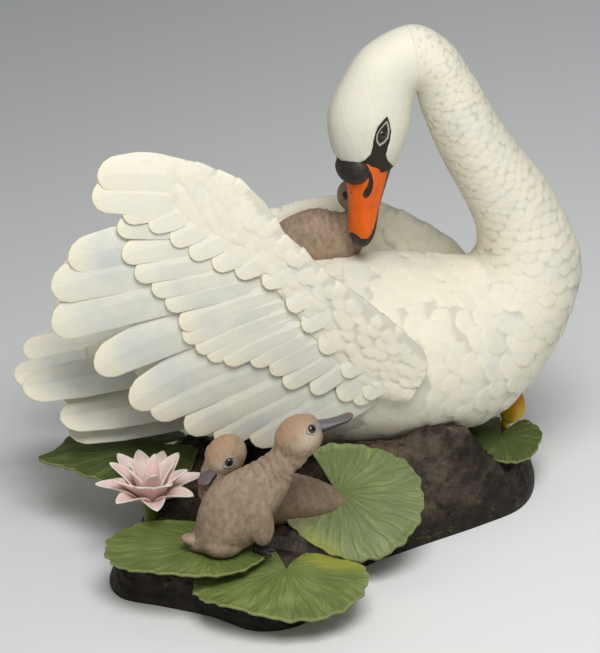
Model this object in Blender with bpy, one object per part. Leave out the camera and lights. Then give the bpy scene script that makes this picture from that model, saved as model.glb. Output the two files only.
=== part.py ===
"""Swan on a lily bank: a painted bisque porcelain group.

The swan is one casting: body, neck, head, bill, tail and both wings with their
feathers. It is bedded in the bank, with three cygnets, five lily pads, a water
lily and a bud. Lengths are in metres and +Z is up. The origin is on the floor
under the middle of the bank, and -Y is the side that is meant to be looked at.

The swan has a frame of its own. forward runs from tail to breast, side is
positive towards its far (left) wing, and up is height above the floor.
"""

import math
from dataclasses import dataclass

import bmesh
import bpy
from mathutils import Matrix, Vector

# Clearances
SEAT_GAP = 0.0004  # left all round a piece that is bedded in another
PAD_SEAT_GAP = 0.0009  # left above and below a lily pad, whose face is waved
THIN = 0.0001  # points closer than a tenth of this are one
CRUMB = 1e-9  # cubic metres: what a join leaves smaller than this is a crumb or a void

# Bank: the earth that carries everything
BANK_TOP = 0.036  # general height of the top
BANK_EDGE_POWER = 7.0  # how square the rim is
BANK_OUTLINE = (
    (-0.127, -0.062),
    (-0.119, -0.090),
    (-0.092, -0.101),
    (-0.062, -0.113),
    (-0.034, -0.130),
    (-0.006, -0.122),
    (0.010, -0.090),
    (0.034, -0.052),
    (0.066, -0.028),
    (0.112, 0.003),
    (0.139, 0.026),
    (0.151, 0.058),
    (0.150, 0.098),
    (0.130, 0.124),
    (0.070, 0.130),
    (0.010, 0.126),
    (-0.046, 0.108),
    (-0.092, 0.072),
    (-0.106, 0.024),
    (-0.112, -0.018),
)
BANK_CENTRE = (0.010, 0.008)
# Lumps on the bank: x, y, reach along x, reach along y, rise
BANK_LUMPS = (
    (0.090, 0.016, 0.034, 0.022, 0.030),
    (0.036, -0.006, 0.034, 0.024, 0.026),
    (0.030, 0.062, 0.080, 0.045, 0.010),
    (-0.088, 0.018, 0.030, 0.036, 0.026),
    (-0.020, -0.030, 0.040, 0.020, 0.006),
)
BANK_SPOKES = 40
BANK_RINGS = (0.16, 0.32, 0.48, 0.62, 0.75, 0.86, 0.94, 0.985, 1.0)

# Swan
SWAN_YAW = math.radians(12.0)
SWAN_MIDDLE = (0.0, 0.062)  # where the swan's own frame stands on the floor
SWAN_BACK = 0.160  # height of its back between the wings
# Body, neck and head, from tail to bill. Each station has the point of the back
# or the inside of the neck, the point of the belly or the outside of the neck
# (both forward, up), and half the width.
SWAN_STATIONS = (
    ((-0.148, 0.112), (-0.148, 0.106), 0.010),
    ((-0.127, 0.119), (-0.128, 0.099), 0.020),
    ((-0.087, 0.134), (-0.089, 0.069), 0.047),
    ((-0.047, 0.150), (-0.049, 0.048), 0.062),
    ((-0.008, 0.158), (-0.008, 0.0385), 0.069),
    ((0.032, SWAN_BACK), (0.039, 0.0355), 0.071),
    ((0.073, 0.157), (0.0825, 0.039), 0.067),
    ((0.098, 0.154), (0.115, 0.043), 0.059),
    ((0.110, 0.154), (0.141, 0.0615), 0.051),
    ((0.114, 0.160), (0.1645, 0.093), 0.045),
    ((0.114, 0.168), (0.1795, 0.1275), 0.0385),
    ((0.110, 0.182), (0.182, 0.154), 0.034),
    ((0.103, 0.197), (0.174, 0.176), 0.030),
    ((0.092, 0.217), (0.159, 0.205), 0.027),
    ((0.081, 0.239), (0.139, 0.230), 0.0245),
    ((0.073, 0.259), (0.120, 0.257), 0.0225),
    ((0.069, 0.272), (0.104, 0.284), 0.0205),
    ((0.0675, 0.2755), (0.087, 0.307), 0.0195),
    ((0.0665, 0.2755), (0.064, 0.3175), 0.0185),
    ((0.0655, 0.272), (0.035, 0.305), 0.0195),
    ((0.0645, 0.264), (0.018, 0.281), 0.0215),
    ((0.0635, 0.253), (0.011, 0.260), 0.0225),
    ((0.060, 0.240), (0.013, 0.240), 0.021),
    ((0.054, 0.226), (0.019, 0.226), 0.017),
)
SWAN_STEPS = 2  # rings from one station to the next
SWAN_AROUND = 24

# Bill: along runs from the face to the tip
BILL_LENGTH = 0.058
BILL_BASE_WIDTH = 0.030
BILL_BASE_DEPTH = 0.035
BILL_TIP_WIDTH = 0.024
BILL_TIP_DEPTH = 0.012
BILL_ROOT = (0.037, -0.004, 0.228)  # forward, side, up
BILL_LEAN = (-0.10, -0.06, -1.0)  # the way it points: forward, side, up
BILL_TURN = math.radians(50.0)  # how far the top of the bill is turned to the tail
BILL_AROUND = 12
BILL_SHARES = (-0.18, 0.0, 0.2, 0.45, 0.7, 0.88, 0.97)  # where the bill has its rings
BILL_NARROWS_AT = 0.5  # share of the length by which it has its tip's width
BILL_ROUNDS_AT = 0.72  # share of the length from which its tip is rounded
KNOB_RADIUS = 0.0095
KNOB_SINK = 0.0035  # how far its middle lies under the bill's top line
KNOB_BACK = 0.0033  # how far its middle lies behind the bill's root

# Wings. out is the distance from the swan's middle plane.
NEAR_WING_OUT = 0.083
FAR_WING_OUT = 0.076
WING_BOW_ALONG = 0.010  # how much closer to the body the two ends lie
WING_BOW_UP = 0.012
WING_MIDDLE = (-0.050, 0.145)  # forward and up of the bow's crown
WING_REACH = (0.140, 0.105)
WING_ARM_THICKNESS = 0.013
WING_EDGE_THICKNESS = 0.004

FEATHER_THICKNESS = 0.0032
FEATHER_TILT = 0.0012  # one edge lies over the next feather
FEATHER_LIFT = 0.0012  # how much further out the tip lies than the root
FEATHER_SHARES = (0.0, 0.35, 0.66, 0.84, 0.95)  # where a feather has its rings
# A feather's lens section: shares of its half width and of half its thickness
FEATHER_SECTION = ((-1.0, 0.0), (-0.45, 1.0), (0.45, 1.0), (1.0, 0.0), (0.4, -0.8), (-0.4, -0.8))
# A wing arm's section: share of the way down, and share of the thickness
ARM_SECTION = (
    (0.0, 0.1),
    (0.10, 0.32),
    (0.45, 0.30),
    (0.85, 0.22),
    (1.0, 0.0),
    (0.85, -0.45),
    (0.45, -1.0),
    (0.10, -0.60),
)


@dataclass(frozen=True)
class FeatherRow:
    """A row of feathers on a wing, with its lines of roots and of tips (forward, up)."""

    name: str
    roots: tuple
    tips: tuple
    count: int
    half_width: float
    rise: float  # how far out the row lies from the wing's surface


# The near wing's arm: its upper edge and the lower edge of its small feathers
NEAR_RIDGE = (
    (0.060, 0.112),
    (0.050, 0.134),
    (0.011, 0.173),
    (-0.034, 0.216),
    (-0.060, 0.250),
    (-0.097, 0.265),
    (-0.130, 0.264),
)
NEAR_COVERT_EDGE = (
    (0.052, 0.086),
    (0.020, 0.102),
    (-0.020, 0.135),
    (-0.052, 0.182),
    (-0.082, 0.203),
    (-0.112, 0.228),
    (-0.132, 0.244),
)
FAR_RIDGE = (
    (0.132, 0.122),
    (0.119, 0.136),
    (0.104, 0.150),
    (0.066, 0.171),
    (0.030, 0.178),
    (-0.010, 0.171),
    (-0.050, 0.160),
    (-0.090, 0.148),
)
FAR_COVERT_EDGE = (
    (0.122, 0.098),
    (0.096, 0.084),
    (0.070, 0.082),
    (0.036, 0.092),
    (0.002, 0.110),
    (-0.032, 0.124),
    (-0.066, 0.130),
    (-0.098, 0.138),
)
# Rows of feathers on each wing
NEAR_ROWS = (
    FeatherRow(
        name="primary",
        roots=((-0.086, 0.222), (-0.056, 0.184), (-0.020, 0.142), (0.030, 0.110)),
        tips=(
            (-0.164, 0.212),
            (-0.181, 0.178),
            (-0.152, 0.134),
            (-0.116, 0.100),
            (-0.074, 0.080),
            (-0.034, 0.084),
        ),
        count=11,
        half_width=0.0165,
        rise=-0.0018,
    ),
    FeatherRow(
        name="secondary",
        roots=((-0.080, 0.230), (-0.050, 0.194), (-0.026, 0.168), (0.006, 0.142), (0.038, 0.118)),
        tips=(
            (-0.138, 0.230),
            (-0.127, 0.196),
            (-0.101, 0.158),
            (-0.070, 0.138),
            (-0.034, 0.116),
            (0.014, 0.096),
        ),
        count=12,
        half_width=0.0125,
        rise=0.0005,
    ),
    FeatherRow(
        name="hand",
        roots=((-0.092, 0.256), (-0.092, 0.240)),
        tips=((-0.147, 0.261), (-0.150, 0.247)),
        count=2,
        half_width=0.0120,
        rise=0.0022,
    ),
)
FAR_ROWS = (
    FeatherRow(
        name="primary",
        roots=((-0.030, 0.152), (-0.010, 0.116), (0.046, 0.092)),
        tips=((-0.158, 0.136), (-0.160, 0.110), (-0.118, 0.082), (-0.060, 0.066), (0.010, 0.062)),
        count=9,
        half_width=0.0165,
        rise=-0.0018,
    ),
    FeatherRow(
        name="secondary",
        roots=((-0.034, 0.160), (0.004, 0.134), (0.066, 0.108)),
        tips=((-0.126, 0.146), (-0.102, 0.116), (-0.050, 0.088), (0.034, 0.074)),
        count=9,
        half_width=0.0135,
        rise=0.0005,
    ),
)
TAIL_ACROSS = (0.0, 0.8, 0.6)  # the way a tail feather is wide: forward, side, up
# Tail feathers: root and tip as forward, side, up, and half width
TAIL_FEATHERS = (
    ((-0.095, -0.016, 0.106), (-0.194, -0.030, 0.103), 0.0135),
    ((-0.095, 0.014, 0.108), (-0.188, 0.024, 0.106), 0.0135),
    ((-0.090, 0.000, 0.100), (-0.197, -0.004, 0.101), 0.0135),
    ((-0.085, -0.026, 0.084), (-0.172, -0.038, 0.084), 0.0135),
    ((-0.085, 0.026, 0.086), (-0.170, 0.042, 0.088), 0.0135),
    ((-0.080, -0.022, 0.072), (-0.166, -0.030, 0.070), 0.0125),
    ((-0.080, 0.016, 0.072), (-0.164, 0.020, 0.072), 0.0125),
)

# Cygnets: stations as for the swan (along, up), from tail to breast and neck, in
# each cygnet's own frame, which stands on the bank's top or on the swan's back.
# Then its head (along, up, half length, half width, pitch in degrees) and its
# bill's root and tip.
CYGNET_STEPS = 2
CYGNET_AROUND = 14
CYGNET_BILL_HALF_WIDTH = 0.0056
CYGNET_BILL_AROUND = 8
# A cygnet's bill: share of the length, and shares of the half width across and up
CYGNET_BILL_RINGS = (
    (-0.25, 1.0, 0.90),
    (0.1, 1.0, 0.80),
    (0.5, 0.72, 0.42),
    (0.8, 0.76, 0.32),
    (0.97, 0.45, 0.20),
)
CYGNETS = {
    "cygnet_front": {
        "place": (-0.043, -0.091, BANK_TOP),
        "yaw": math.radians(10.0),
        "stations": (
            ((-0.0330, 0.0040), (-0.0300, 0.0005), 0.0030),
            ((-0.0290, 0.0140), (-0.0170, -0.0010), 0.0120),
            ((-0.0260, 0.0280), (-0.0040, 0.0000), 0.0170),
            ((-0.0200, 0.0400), (0.0080, 0.0060), 0.0190),
            ((-0.0080, 0.0490), (0.0190, 0.0220), 0.0170),
            ((0.0060, 0.0560), (0.0270, 0.0350), 0.0130),
            ((0.0160, 0.0620), (0.0320, 0.0480), 0.0098),
            ((0.0220, 0.0700), (0.0350, 0.0600), 0.0085),
        ),
        "head": (0.0340, 0.0730, 0.0165, 0.0112, 35.0),
        "bill": ((0.0420, 0.0770), (0.0680, 0.0845)),
    },
    "cygnet_resting": {
        "place": (-0.018, -0.052, BANK_TOP),
        "yaw": math.radians(188.0),
        "stations": (
            ((-0.0440, 0.0085), (-0.0430, 0.0060), 0.0025),
            ((-0.0290, 0.0200), (-0.0270, 0.0000), 0.0115),
            ((-0.0070, 0.0290), (-0.0070, -0.0030), 0.0150),
            ((0.0160, 0.0310), (0.0200, -0.0030), 0.0155),
            ((0.0280, 0.0320), (0.0440, 0.0040), 0.0140),
            ((0.0310, 0.0370), (0.0530, 0.0190), 0.0115),
            ((0.0300, 0.0440), (0.0520, 0.0340), 0.0100),
            ((0.0290, 0.0500), (0.0480, 0.0450), 0.0085),
        ),
        "head": (0.0370, 0.0475, 0.0150, 0.0115, -55.0),
        "bill": ((0.0420, 0.0420), (0.0540, 0.0260)),
    },
    "cygnet_on_back": {
        "place": (0.0066, 0.0880, SWAN_BACK),
        "yaw": math.radians(2.0),
        "stations": (
            ((-0.0400, 0.0040), (-0.0380, 0.0000), 0.0030),
            ((-0.0260, 0.0200), (-0.0240, -0.0080), 0.0140),
            ((-0.0060, 0.0285), (-0.0060, -0.0150), 0.0180),
            ((0.0100, 0.0260), (0.0180, -0.0120), 0.0160),
            ((0.0150, 0.0260), (0.0290, 0.0080), 0.0115),
            ((0.0160, 0.0330), (0.0300, 0.0230), 0.0090),
        ),
        "head": (0.0245, 0.0385, 0.0150, 0.0108, 10.0),
        "bill": ((0.0330, 0.0380), (0.0450, 0.0320)),
    },
}

# Lily pads
PAD_THICKNESS = 0.0018
PAD_SPOKES = 26
PAD_RINGS = 4
PAD_SEAT_REACH = 0.050  # how far above or below a pad nothing else is let in
PAD_TIP_SPREAD = 0.22  # radians of rim that a drawn-out tip takes


@dataclass(frozen=True)
class Pad:
    """A lily pad: a notched disc that is tilted and waved."""

    place: tuple  # the middle of its outline
    reach: tuple  # half sizes along x and y
    heart: tuple  # from the middle to the inner end of the notch, along x and y
    notch: tuple  # the way the notch faces and half its angle, in degrees
    tilt: tuple  # rise per metre along x and y
    wave: tuple  # height, count and start in radians of the waves at the rim
    droop: float = 0.0  # how far the rim hangs
    point: tuple = (0.0, 0.0)  # direction in degrees and length of a drawn-out tip


PADS = {
    "lily_pad_left": Pad(
        place=(-0.077, -0.092, BANK_TOP + 0.0005),
        reach=(0.050, 0.034),
        heart=(0.020, 0.004),
        notch=(24, 9),
        tilt=(0.0, 0.02),
        wave=(0.0015, 3, 0.6),
    ),
    "lily_pad_front": Pad(
        place=(-0.019, -0.114, BANK_TOP - 0.0085),
        reach=(0.053, 0.037),
        heart=(0.003, 0.011),
        notch=(84, 13),
        tilt=(0.0, 0.10),
        wave=(0.0030, 3, 1.6),
        droop=0.002,
    ),
    "lily_pad_right": Pad(
        place=(0.024, -0.050, BANK_TOP + 0.0130),
        reach=(0.046, 0.030),
        heart=(-0.008, 0.002),
        notch=(148, 25),
        tilt=(-0.08, 0.82),
        wave=(0.0030, 2, 1.2),
    ),
    "lily_pad_back": Pad(
        place=(-0.118, 0.006, BANK_TOP + 0.0185),
        reach=(0.044, 0.038),
        heart=(0.016, 0.006),
        notch=(20, 9),
        tilt=(-0.04, 0.12),
        wave=(0.0020, 3, 1.0),
        droop=0.002,
        point=(190, 0.014),
    ),
    "lily_pad_bud": Pad(
        place=(0.124, 0.062, BANK_TOP - 0.0005),
        reach=(0.029, 0.034),
        heart=(0.004, 0.004),
        notch=(63, 16),
        tilt=(0.0, 0.05),
        wave=(0.0020, 3, 0.4),
        droop=0.001,
        point=(8, 0.003),
    ),
}

# Water lily
LILY_PLACE = (-0.102, -0.043)
LILY_HEART_UP = BANK_TOP + 0.007
LILY_HEART_RADIUS = 0.0080
LILY_HEART_HALF_DEPTH = 0.0048
LILY_STEM_RADIUS = 0.0042
LILY_STEM_SINK = 0.014  # from the heart down to the foot of the stem
PETAL_THICKNESS = 0.0013
PETAL_CUP = 0.0026  # depth of a petal's hollow
PETAL_SHARES = (0.0, 0.34, 0.62, 0.84, 0.96)  # where a petal has its rings
# A petal's section: shares of its half width and of its thickness
PETAL_SECTION = ((-1.0, 0.0), (0.0, 0.5), (1.0, 0.0), (0.5, -0.5), (-0.5, -0.5))
# Rings of petals: directions in degrees, rise in degrees, length, half width, and
# how far from the middle they grow
LILY_RINGS = (
    ((190, 235, 281, 330, 22), 24.0, 0.033, 0.0074, 0.0035),
    ((74, 136), 42.0, 0.033, 0.0074, 0.0035),
    ((170, 214, 258, 305, 356, 48, 108), 47.0, 0.031, 0.0074, 0.0045),
    ((150, 205, 285, 20, 78), 70.0, 0.028, 0.0064, 0.0052),
)
STAMEN_COUNT = 7
STAMEN_LENGTH = 0.013
STAMEN_RADIUS = 0.0009
STAMEN_RING = 0.0020
STAMEN_LEAN = 0.16
STAMEN_BED_RADIUS = 0.0034  # the cushion that carries the stamens
STAMEN_BED_DEPTH = 0.0040

# Bud at the right
BUD_PLACE = (0.1385, 0.097)
BUD_LENGTH = 0.025
BUD_RADIUS = 0.0084
BUD_UP = BANK_TOP + 0.004
BUD_LEAN = math.radians(24.0)
BUD_STEM_RADIUS = 0.0034
BUD_STEM_SINK = 0.016

COLOURS = {
    "bisque_white": ((0.86, 0.84, 0.77), 0.55),
    "earth_brown": ((0.115, 0.082, 0.062), 0.62),
    "cygnet_down": ((0.47, 0.36, 0.28), 0.60),
    "pad_green": ((0.145, 0.215, 0.070), 0.50),
    "petal_pink": ((0.80, 0.56, 0.54), 0.45),
    "stamen_orange": ((0.80, 0.36, 0.05), 0.50),
    "bud_yellow": ((0.66, 0.44, 0.03), 0.45),
}


def clear_scene():
    """Removes the scene's objects."""
    for old in list(bpy.data.objects):
        bpy.data.objects.remove(old)


def new_collection(name, helper=False):
    """A collection in the scene. A helper's objects aren't part of the figurine."""
    collection = bpy.data.collections.new(name)
    bpy.context.scene.collection.children.link(collection)
    collection.hide_render = helper
    return collection


def material(name):
    """The painted finish of this name."""
    found = bpy.data.materials.get(name)
    if found:
        return found
    colour, roughness = COLOURS[name]
    found = bpy.data.materials.new(name)
    found.use_nodes = True
    shader = found.node_tree.nodes["Principled BSDF"]
    shader.inputs["Base Color"].default_value = (*colour, 1.0)
    shader.inputs["Roughness"].default_value = roughness
    shader.inputs["Metallic"].default_value = 0.0
    return found


def smooth_line(points, steps, closed=False):
    """Points on a Catmull-Rom curve through these, steps from each one to the next."""
    points = [Vector(p) for p in points]
    count = len(points)
    spans = count if closed else count - 1

    def at(i):
        if closed:
            return points[i % count]
        if i < 0:
            return points[0] * 2 - points[1]
        if i >= count:
            return points[-1] * 2 - points[-2]
        return points[i]

    line = []
    for i in range(spans):
        a, b, c, d = at(i - 1), at(i), at(i + 1), at(i + 2)
        for k in range(steps):
            t = k / steps
            bend = (2 * a - 5 * b + 4 * c - d) * t**2 + (3 * b - a - 3 * c + d) * t**3
            line.append(0.5 * (2 * b + (c - a) * t + bend))
    if not closed:
        line.append(points[-1])
    return line


def on_line(points, share):
    """The point this share of the way along a smooth line through the points."""
    steps = 12
    line = smooth_line(points, steps)
    place = share * (len(line) - 1)
    low = min(int(place), len(line) - 2)
    return line[low].lerp(line[low + 1], place - low)


def solid_object(name, mesh_maker, collection, finish=None):
    """An object whose bmesh the maker fills, closed, with flat faces that point outwards."""
    mesh = bpy.data.meshes.new(name)
    bm = bmesh.new()
    mesh_maker(bm)
    bmesh.ops.remove_doubles(bm, verts=bm.verts, dist=THIN / 10)
    bmesh.ops.recalc_face_normals(bm, faces=bm.faces)
    bmesh.ops.triangulate(bm, faces=bm.faces)
    bm.to_mesh(mesh)
    bm.free()
    obj = bpy.data.objects.new(name, mesh)
    collection.objects.link(obj)
    if finish:
        mesh.materials.append(material(finish))
        mesh.shade_smooth()
        mesh.set_sharp_from_angle(angle=math.radians(40))
    else:
        obj.display_type = "WIRE"
        obj.hide_render = True
    return obj


def add_loft(bm, rings):
    """A skin over rings of equally many points. An end ring is one face, or a tip if it has one point."""
    made = [[bm.verts.new(p) for p in ring] for ring in rings]
    for low, high in zip(made, made[1:]):
        count = max(len(low), len(high))
        for k in range(count):
            near = [low[k % len(low)], low[(k + 1) % len(low)]]
            far = [high[(k + 1) % len(high)], high[k % len(high)]]
            bm.faces.new(dict.fromkeys(near + far))
    for end in (made[0], made[-1]):
        if len(end) > 2:
            bm.faces.new(end)


def join_all(obj, others, solver="EXACT"):
    """Joins helper solids to the object, and drops what the join seals inside it."""
    collection = new_collection("joined_to_" + obj.name, helper=True)
    for other in others:
        for holder in list(other.users_collection):
            holder.objects.unlink(other)
        collection.objects.link(other)
    join = obj.modifiers.new("joined", "BOOLEAN")
    join.operation = "UNION"
    join.operand_type = "COLLECTION"
    join.collection = collection
    join.solver = solver
    settle(obj)


def cut_by(obj, cutter, solver="EXACT"):
    """Takes a helper solid out of the object."""
    cut = obj.modifiers.new("seat_of_" + cutter.name, "BOOLEAN")
    cut.operation = "DIFFERENCE"
    cut.object = cutter
    cut.solver = solver


def shell_volume(faces):
    """The volume that these faces enclose, negative for a sealed void."""
    total = 0.0
    for face in faces:
        corners = [v.co for v in face.verts]
        for a, b in zip(corners[1:], corners[2:]):
            total += corners[0].dot(a.cross(b)) / 6
    return total


def shells_of(bm):
    """The mesh's faces, grouped by what hangs together across edges that two faces share."""
    left = set(bm.faces)
    shells = []
    while left:
        group = [left.pop()]
        for face in group:
            for edge in face.edges:
                if len(edge.link_faces) != 2:
                    continue
                for other in edge.link_faces:
                    if other in left:
                        left.remove(other)
                        group.append(other)
        shells.append(group)
    return shells


def settle(obj):
    """Applies the object's modifiers, then drops the sealed voids and crumbs that they left."""
    graph = bpy.context.evaluated_depsgraph_get()
    done = bpy.data.meshes.new_from_object(obj.evaluated_get(graph))
    bm = bmesh.new()
    bm.from_mesh(done)
    for shell in shells_of(bm):
        if shell_volume(shell) < CRUMB:
            bmesh.ops.delete(bm, geom=shell, context="FACES")
    loose = [v for v in bm.verts if not v.link_faces]
    bmesh.ops.delete(bm, geom=loose, context="VERTS")
    bm.to_mesh(done)
    bm.free()
    obj.modifiers.clear()
    obj.data = done


# Swan


def swan_point(forward, side, up):
    """A point of the swan's frame, in the figurine's."""
    turned = Matrix.Rotation(SWAN_YAW, 3, "Z") @ Vector((forward, side, 0.0))
    return Vector((turned.x + SWAN_MIDDLE[0], turned.y + SWAN_MIDDLE[1], up))


def station_rings(stations, steps, around, place, grow=0.0):
    """Rings through stations of inner point, outer point and half width.

    place(along, side, up) puts a point of the stations' own frame in the world.
    """
    inner = smooth_line([(*station[0], 0.0) for station in stations], steps)
    outer = smooth_line([(*station[1], 0.0) for station in stations], steps)
    halves = smooth_line([(station[2], 0.0, 0.0) for station in stations], steps)
    rings = []
    for a, b, half in zip(inner, outer, halves):
        middle = (a + b) / 2
        reach = (a - b) / 2
        longer = 1 + grow / max(reach.length, THIN)
        ring = []
        for k in range(around):
            angle = 2 * math.pi * k / around
            spot = middle + reach * longer * math.cos(angle)
            ring.append(place(spot.x, (half.x + grow) * math.sin(angle), spot.y))
        rings.append(ring)
    return rings


def swan_core(bm, grow=0.0):
    """Body, neck and head as one skin."""
    add_loft(bm, station_rings(SWAN_STATIONS, SWAN_STEPS, SWAN_AROUND, swan_point, grow))


def bill_frame():
    """Origin and the axes along, top and across of the bill."""
    along = (swan_point(*BILL_LEAN) - swan_point(0, 0, 0)).normalized()
    towards = Vector((-math.sin(BILL_TURN), -math.cos(BILL_TURN), 0.0))
    across = along.cross(towards).normalized()
    return swan_point(*BILL_ROOT), along, across.cross(along).normalized(), across


def bill(bm):
    """The bill, from inside the face to its rounded tip."""
    origin, along, top, across = bill_frame()
    rings = []
    for share in BILL_SHARES:
        t = max(share, 0.0)
        rounding = max(0.0, (t - BILL_ROUNDS_AT) / (1 - BILL_ROUNDS_AT))
        size = math.sqrt(1 - rounding**2.2) / 2
        width = BILL_BASE_WIDTH + (BILL_TIP_WIDTH - BILL_BASE_WIDTH) * min(t / BILL_NARROWS_AT, 1.0)
        depth = BILL_BASE_DEPTH + (BILL_TIP_DEPTH - BILL_BASE_DEPTH) * t**0.7
        ring = []
        for k in range(BILL_AROUND):
            angle = 2 * math.pi * k / BILL_AROUND
            spot = origin + along * BILL_LENGTH * share + across * width * size * math.cos(angle)
            ring.append(spot + top * depth * size * math.sin(angle))
        rings.append(ring)
    add_loft(bm, rings)


def knob(bm):
    """The black knob over the bill's root."""
    origin, along, top, across = bill_frame()
    place = origin + top * (BILL_BASE_DEPTH / 2 - KNOB_SINK) - along * KNOB_BACK
    bmesh.ops.create_icosphere(bm, subdivisions=2, radius=KNOB_RADIUS, matrix=Matrix.Translation(place))


# Wings


def wing_out(base, forward, up):
    """How far from the middle plane the wing's surface lies."""
    a = (forward - WING_MIDDLE[0]) / WING_REACH[0]
    b = (up - WING_MIDDLE[1]) / WING_REACH[1]
    return base - WING_BOW_ALONG * a * a - WING_BOW_UP * b * b


def near_wing_point(forward, rise, up):
    return swan_point(forward, -(wing_out(NEAR_WING_OUT, forward, up) + rise), up)


def far_wing_point(forward, rise, up):
    return swan_point(forward, wing_out(FAR_WING_OUT, forward, up) + rise, up)


def feather_outline(share):
    """Share of the full half width, from root (0) to tip (1)."""
    body = 0.55 + 0.45 * math.sin(math.pi / 2 * min(share / 0.6, 1.0))
    tip = max(0.0, (share - 0.70) / 0.30)
    return body * math.sqrt(max(1 - tip**2.2, 0.0))


def feather(bm, root, tip, half_width, rise, place):
    """A lens-shaped feather laid on a wing, from root to tip (forward, up)."""
    root, tip = Vector((root[0], root[1])), Vector((tip[0], tip[1]))
    along = tip - root
    across = Vector((-along.y, along.x)).normalized()
    rings = []
    for share in FEATHER_SHARES:
        width = half_width * feather_outline(share)
        lift = rise + FEATHER_LIFT * share
        ring = []
        for b, h in FEATHER_SECTION:
            spot = root + along * share + across * width * b
            height = lift + h * FEATHER_THICKNESS / 2 - b * FEATHER_TILT
            ring.append(place(spot.x, height, spot.y))
        rings.append(ring)
    rings.append([place(tip.x, rise + FEATHER_LIFT, tip.y)])
    add_loft(bm, rings)


def feather_row(wing, row, place, helpers):
    """One row of feathers, each a helper solid."""
    made = []
    for k in range(row.count):
        share = k / (row.count - 1)
        root = on_line([(*p, 0.0) for p in row.roots], share)
        tip = on_line([(*p, 0.0) for p in row.tips], share)
        made.append(
            solid_object(
                f"{wing}_{row.name}_{k + 1}",
                lambda bm: feather(bm, root, tip, row.half_width, row.rise, place),
                helpers,
            )
        )
    return made


def wing_arm(bm, ridge, edge, place):
    """The thick part of a wing, from its upper edge to the edge of its small feathers."""
    upper = smooth_line([(*p, 0.0) for p in ridge], SWAN_STEPS)
    lower = smooth_line([(*p, 0.0) for p in edge], SWAN_STEPS)
    rings = []
    for i, (a, b) in enumerate(zip(upper, lower)):
        t = i / (len(upper) - 1)
        thickness = WING_ARM_THICKNESS + (WING_EDGE_THICKNESS - WING_ARM_THICKNESS) * t
        ring = []
        for down, h in ARM_SECTION:
            spot = a.lerp(b, down)
            ring.append(place(spot.x, h * thickness, spot.y))
        rings.append(ring)
    add_loft(bm, rings)


def tail_feather(bm, root, tip, half_width):
    """A tail feather, flat and slightly rolled, between two points of the swan's frame."""
    root, tip = Vector(root), Vector(tip)
    along = tip - root
    across = Vector(TAIL_ACROSS)
    normal = along.cross(across).normalized()
    rings = []
    for share in FEATHER_SHARES:
        width = half_width * feather_outline(share)
        ring = []
        for b, h in FEATHER_SECTION:
            spot = root + along * share + across * width * b + normal * h * FEATHER_THICKNESS / 2
            ring.append(swan_point(*spot))
        rings.append(ring)
    rings.append([swan_point(*tip)])
    add_loft(bm, rings)


def make_swan(figurine, helpers):
    """The swan: one casting, so every part is joined into one solid."""
    swan = solid_object("swan", swan_core, figurine, "bisque_white")
    parts = [solid_object("bill", bill, helpers), solid_object("knob", knob, helpers)]
    for side, place, rows, ridge, edge in (
        ("near", near_wing_point, NEAR_ROWS, NEAR_RIDGE, NEAR_COVERT_EDGE),
        ("far", far_wing_point, FAR_ROWS, FAR_RIDGE, FAR_COVERT_EDGE),
    ):
        parts.append(solid_object(f"{side}_arm", lambda bm: wing_arm(bm, ridge, edge, place), helpers))
        for row in rows:
            parts += feather_row(side, row, place, helpers)
    for k, feather_sizes in enumerate(TAIL_FEATHERS):
        parts.append(solid_object(f"tail_{k + 1}", lambda bm: tail_feather(bm, *feather_sizes), helpers))
    join_all(swan, parts)
    return swan


# Cygnets


def cygnet_body(bm, form, grow=0.0):
    """A cygnet's body and neck in the figurine's frame."""
    turn = Matrix.Rotation(form["yaw"], 3, "Z")
    origin = Vector(form["place"])

    def place(along, side, up):
        return origin + turn @ Vector((along, side, up))

    add_loft(bm, station_rings(form["stations"], CYGNET_STEPS, CYGNET_AROUND, place, grow))


def cygnet_head(bm, form):
    """A cygnet's head: an egg that is pitched up or down."""
    along, up, half_length, half_width, pitch = form["head"]
    turn = Matrix.Translation(form["place"]) @ Matrix.Rotation(form["yaw"], 4, "Z")
    seat = Matrix.Translation((along, 0.0, up)) @ Matrix.Rotation(-math.radians(pitch), 4, "Y")
    size = Matrix.Diagonal((half_length, half_width, half_width, 1.0))
    bmesh.ops.create_uvsphere(bm, u_segments=14, v_segments=9, radius=1.0, matrix=turn @ seat @ size)


def cygnet_bill(bm, form):
    """A cygnet's bill, flat and a little wider at its tip than in its middle."""
    turn = Matrix.Rotation(form["yaw"], 3, "Z")
    origin = Vector(form["place"])
    root, tip = form["bill"]
    along = Vector((tip[0] - root[0], 0.0, tip[1] - root[1]))
    top = Vector((-along.z, 0.0, along.x)).normalized()
    rings = []
    for share, width, depth in CYGNET_BILL_RINGS:
        ring = []
        for k in range(CYGNET_BILL_AROUND):
            angle = 2 * math.pi * k / CYGNET_BILL_AROUND
            spot = Vector((root[0], 0.0, root[1])) + along * share
            spot = spot + top * depth * CYGNET_BILL_HALF_WIDTH * math.sin(angle)
            spot.y += width * CYGNET_BILL_HALF_WIDTH * math.cos(angle)
            ring.append(origin + turn @ spot)
        rings.append(ring)
    add_loft(bm, rings)


def make_cygnet(name, form, seats, figurine, helpers):
    """A cygnet: body, head and bill in one solid. seats fill the room of what it lies against."""
    cygnet = solid_object(name, lambda bm: cygnet_body(bm, form), figurine, "cygnet_down")
    head = solid_object(name + "_head", lambda bm: cygnet_head(bm, form), helpers)
    beak = solid_object(name + "_bill", lambda bm: cygnet_bill(bm, form), helpers)
    join_all(cygnet, [head, beak])
    for k, seat in enumerate(seats):
        cut_by(cygnet, solid_object(f"{name}_seat_{k + 1}", seat, helpers))
    return cygnet


# Lily pads


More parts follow.
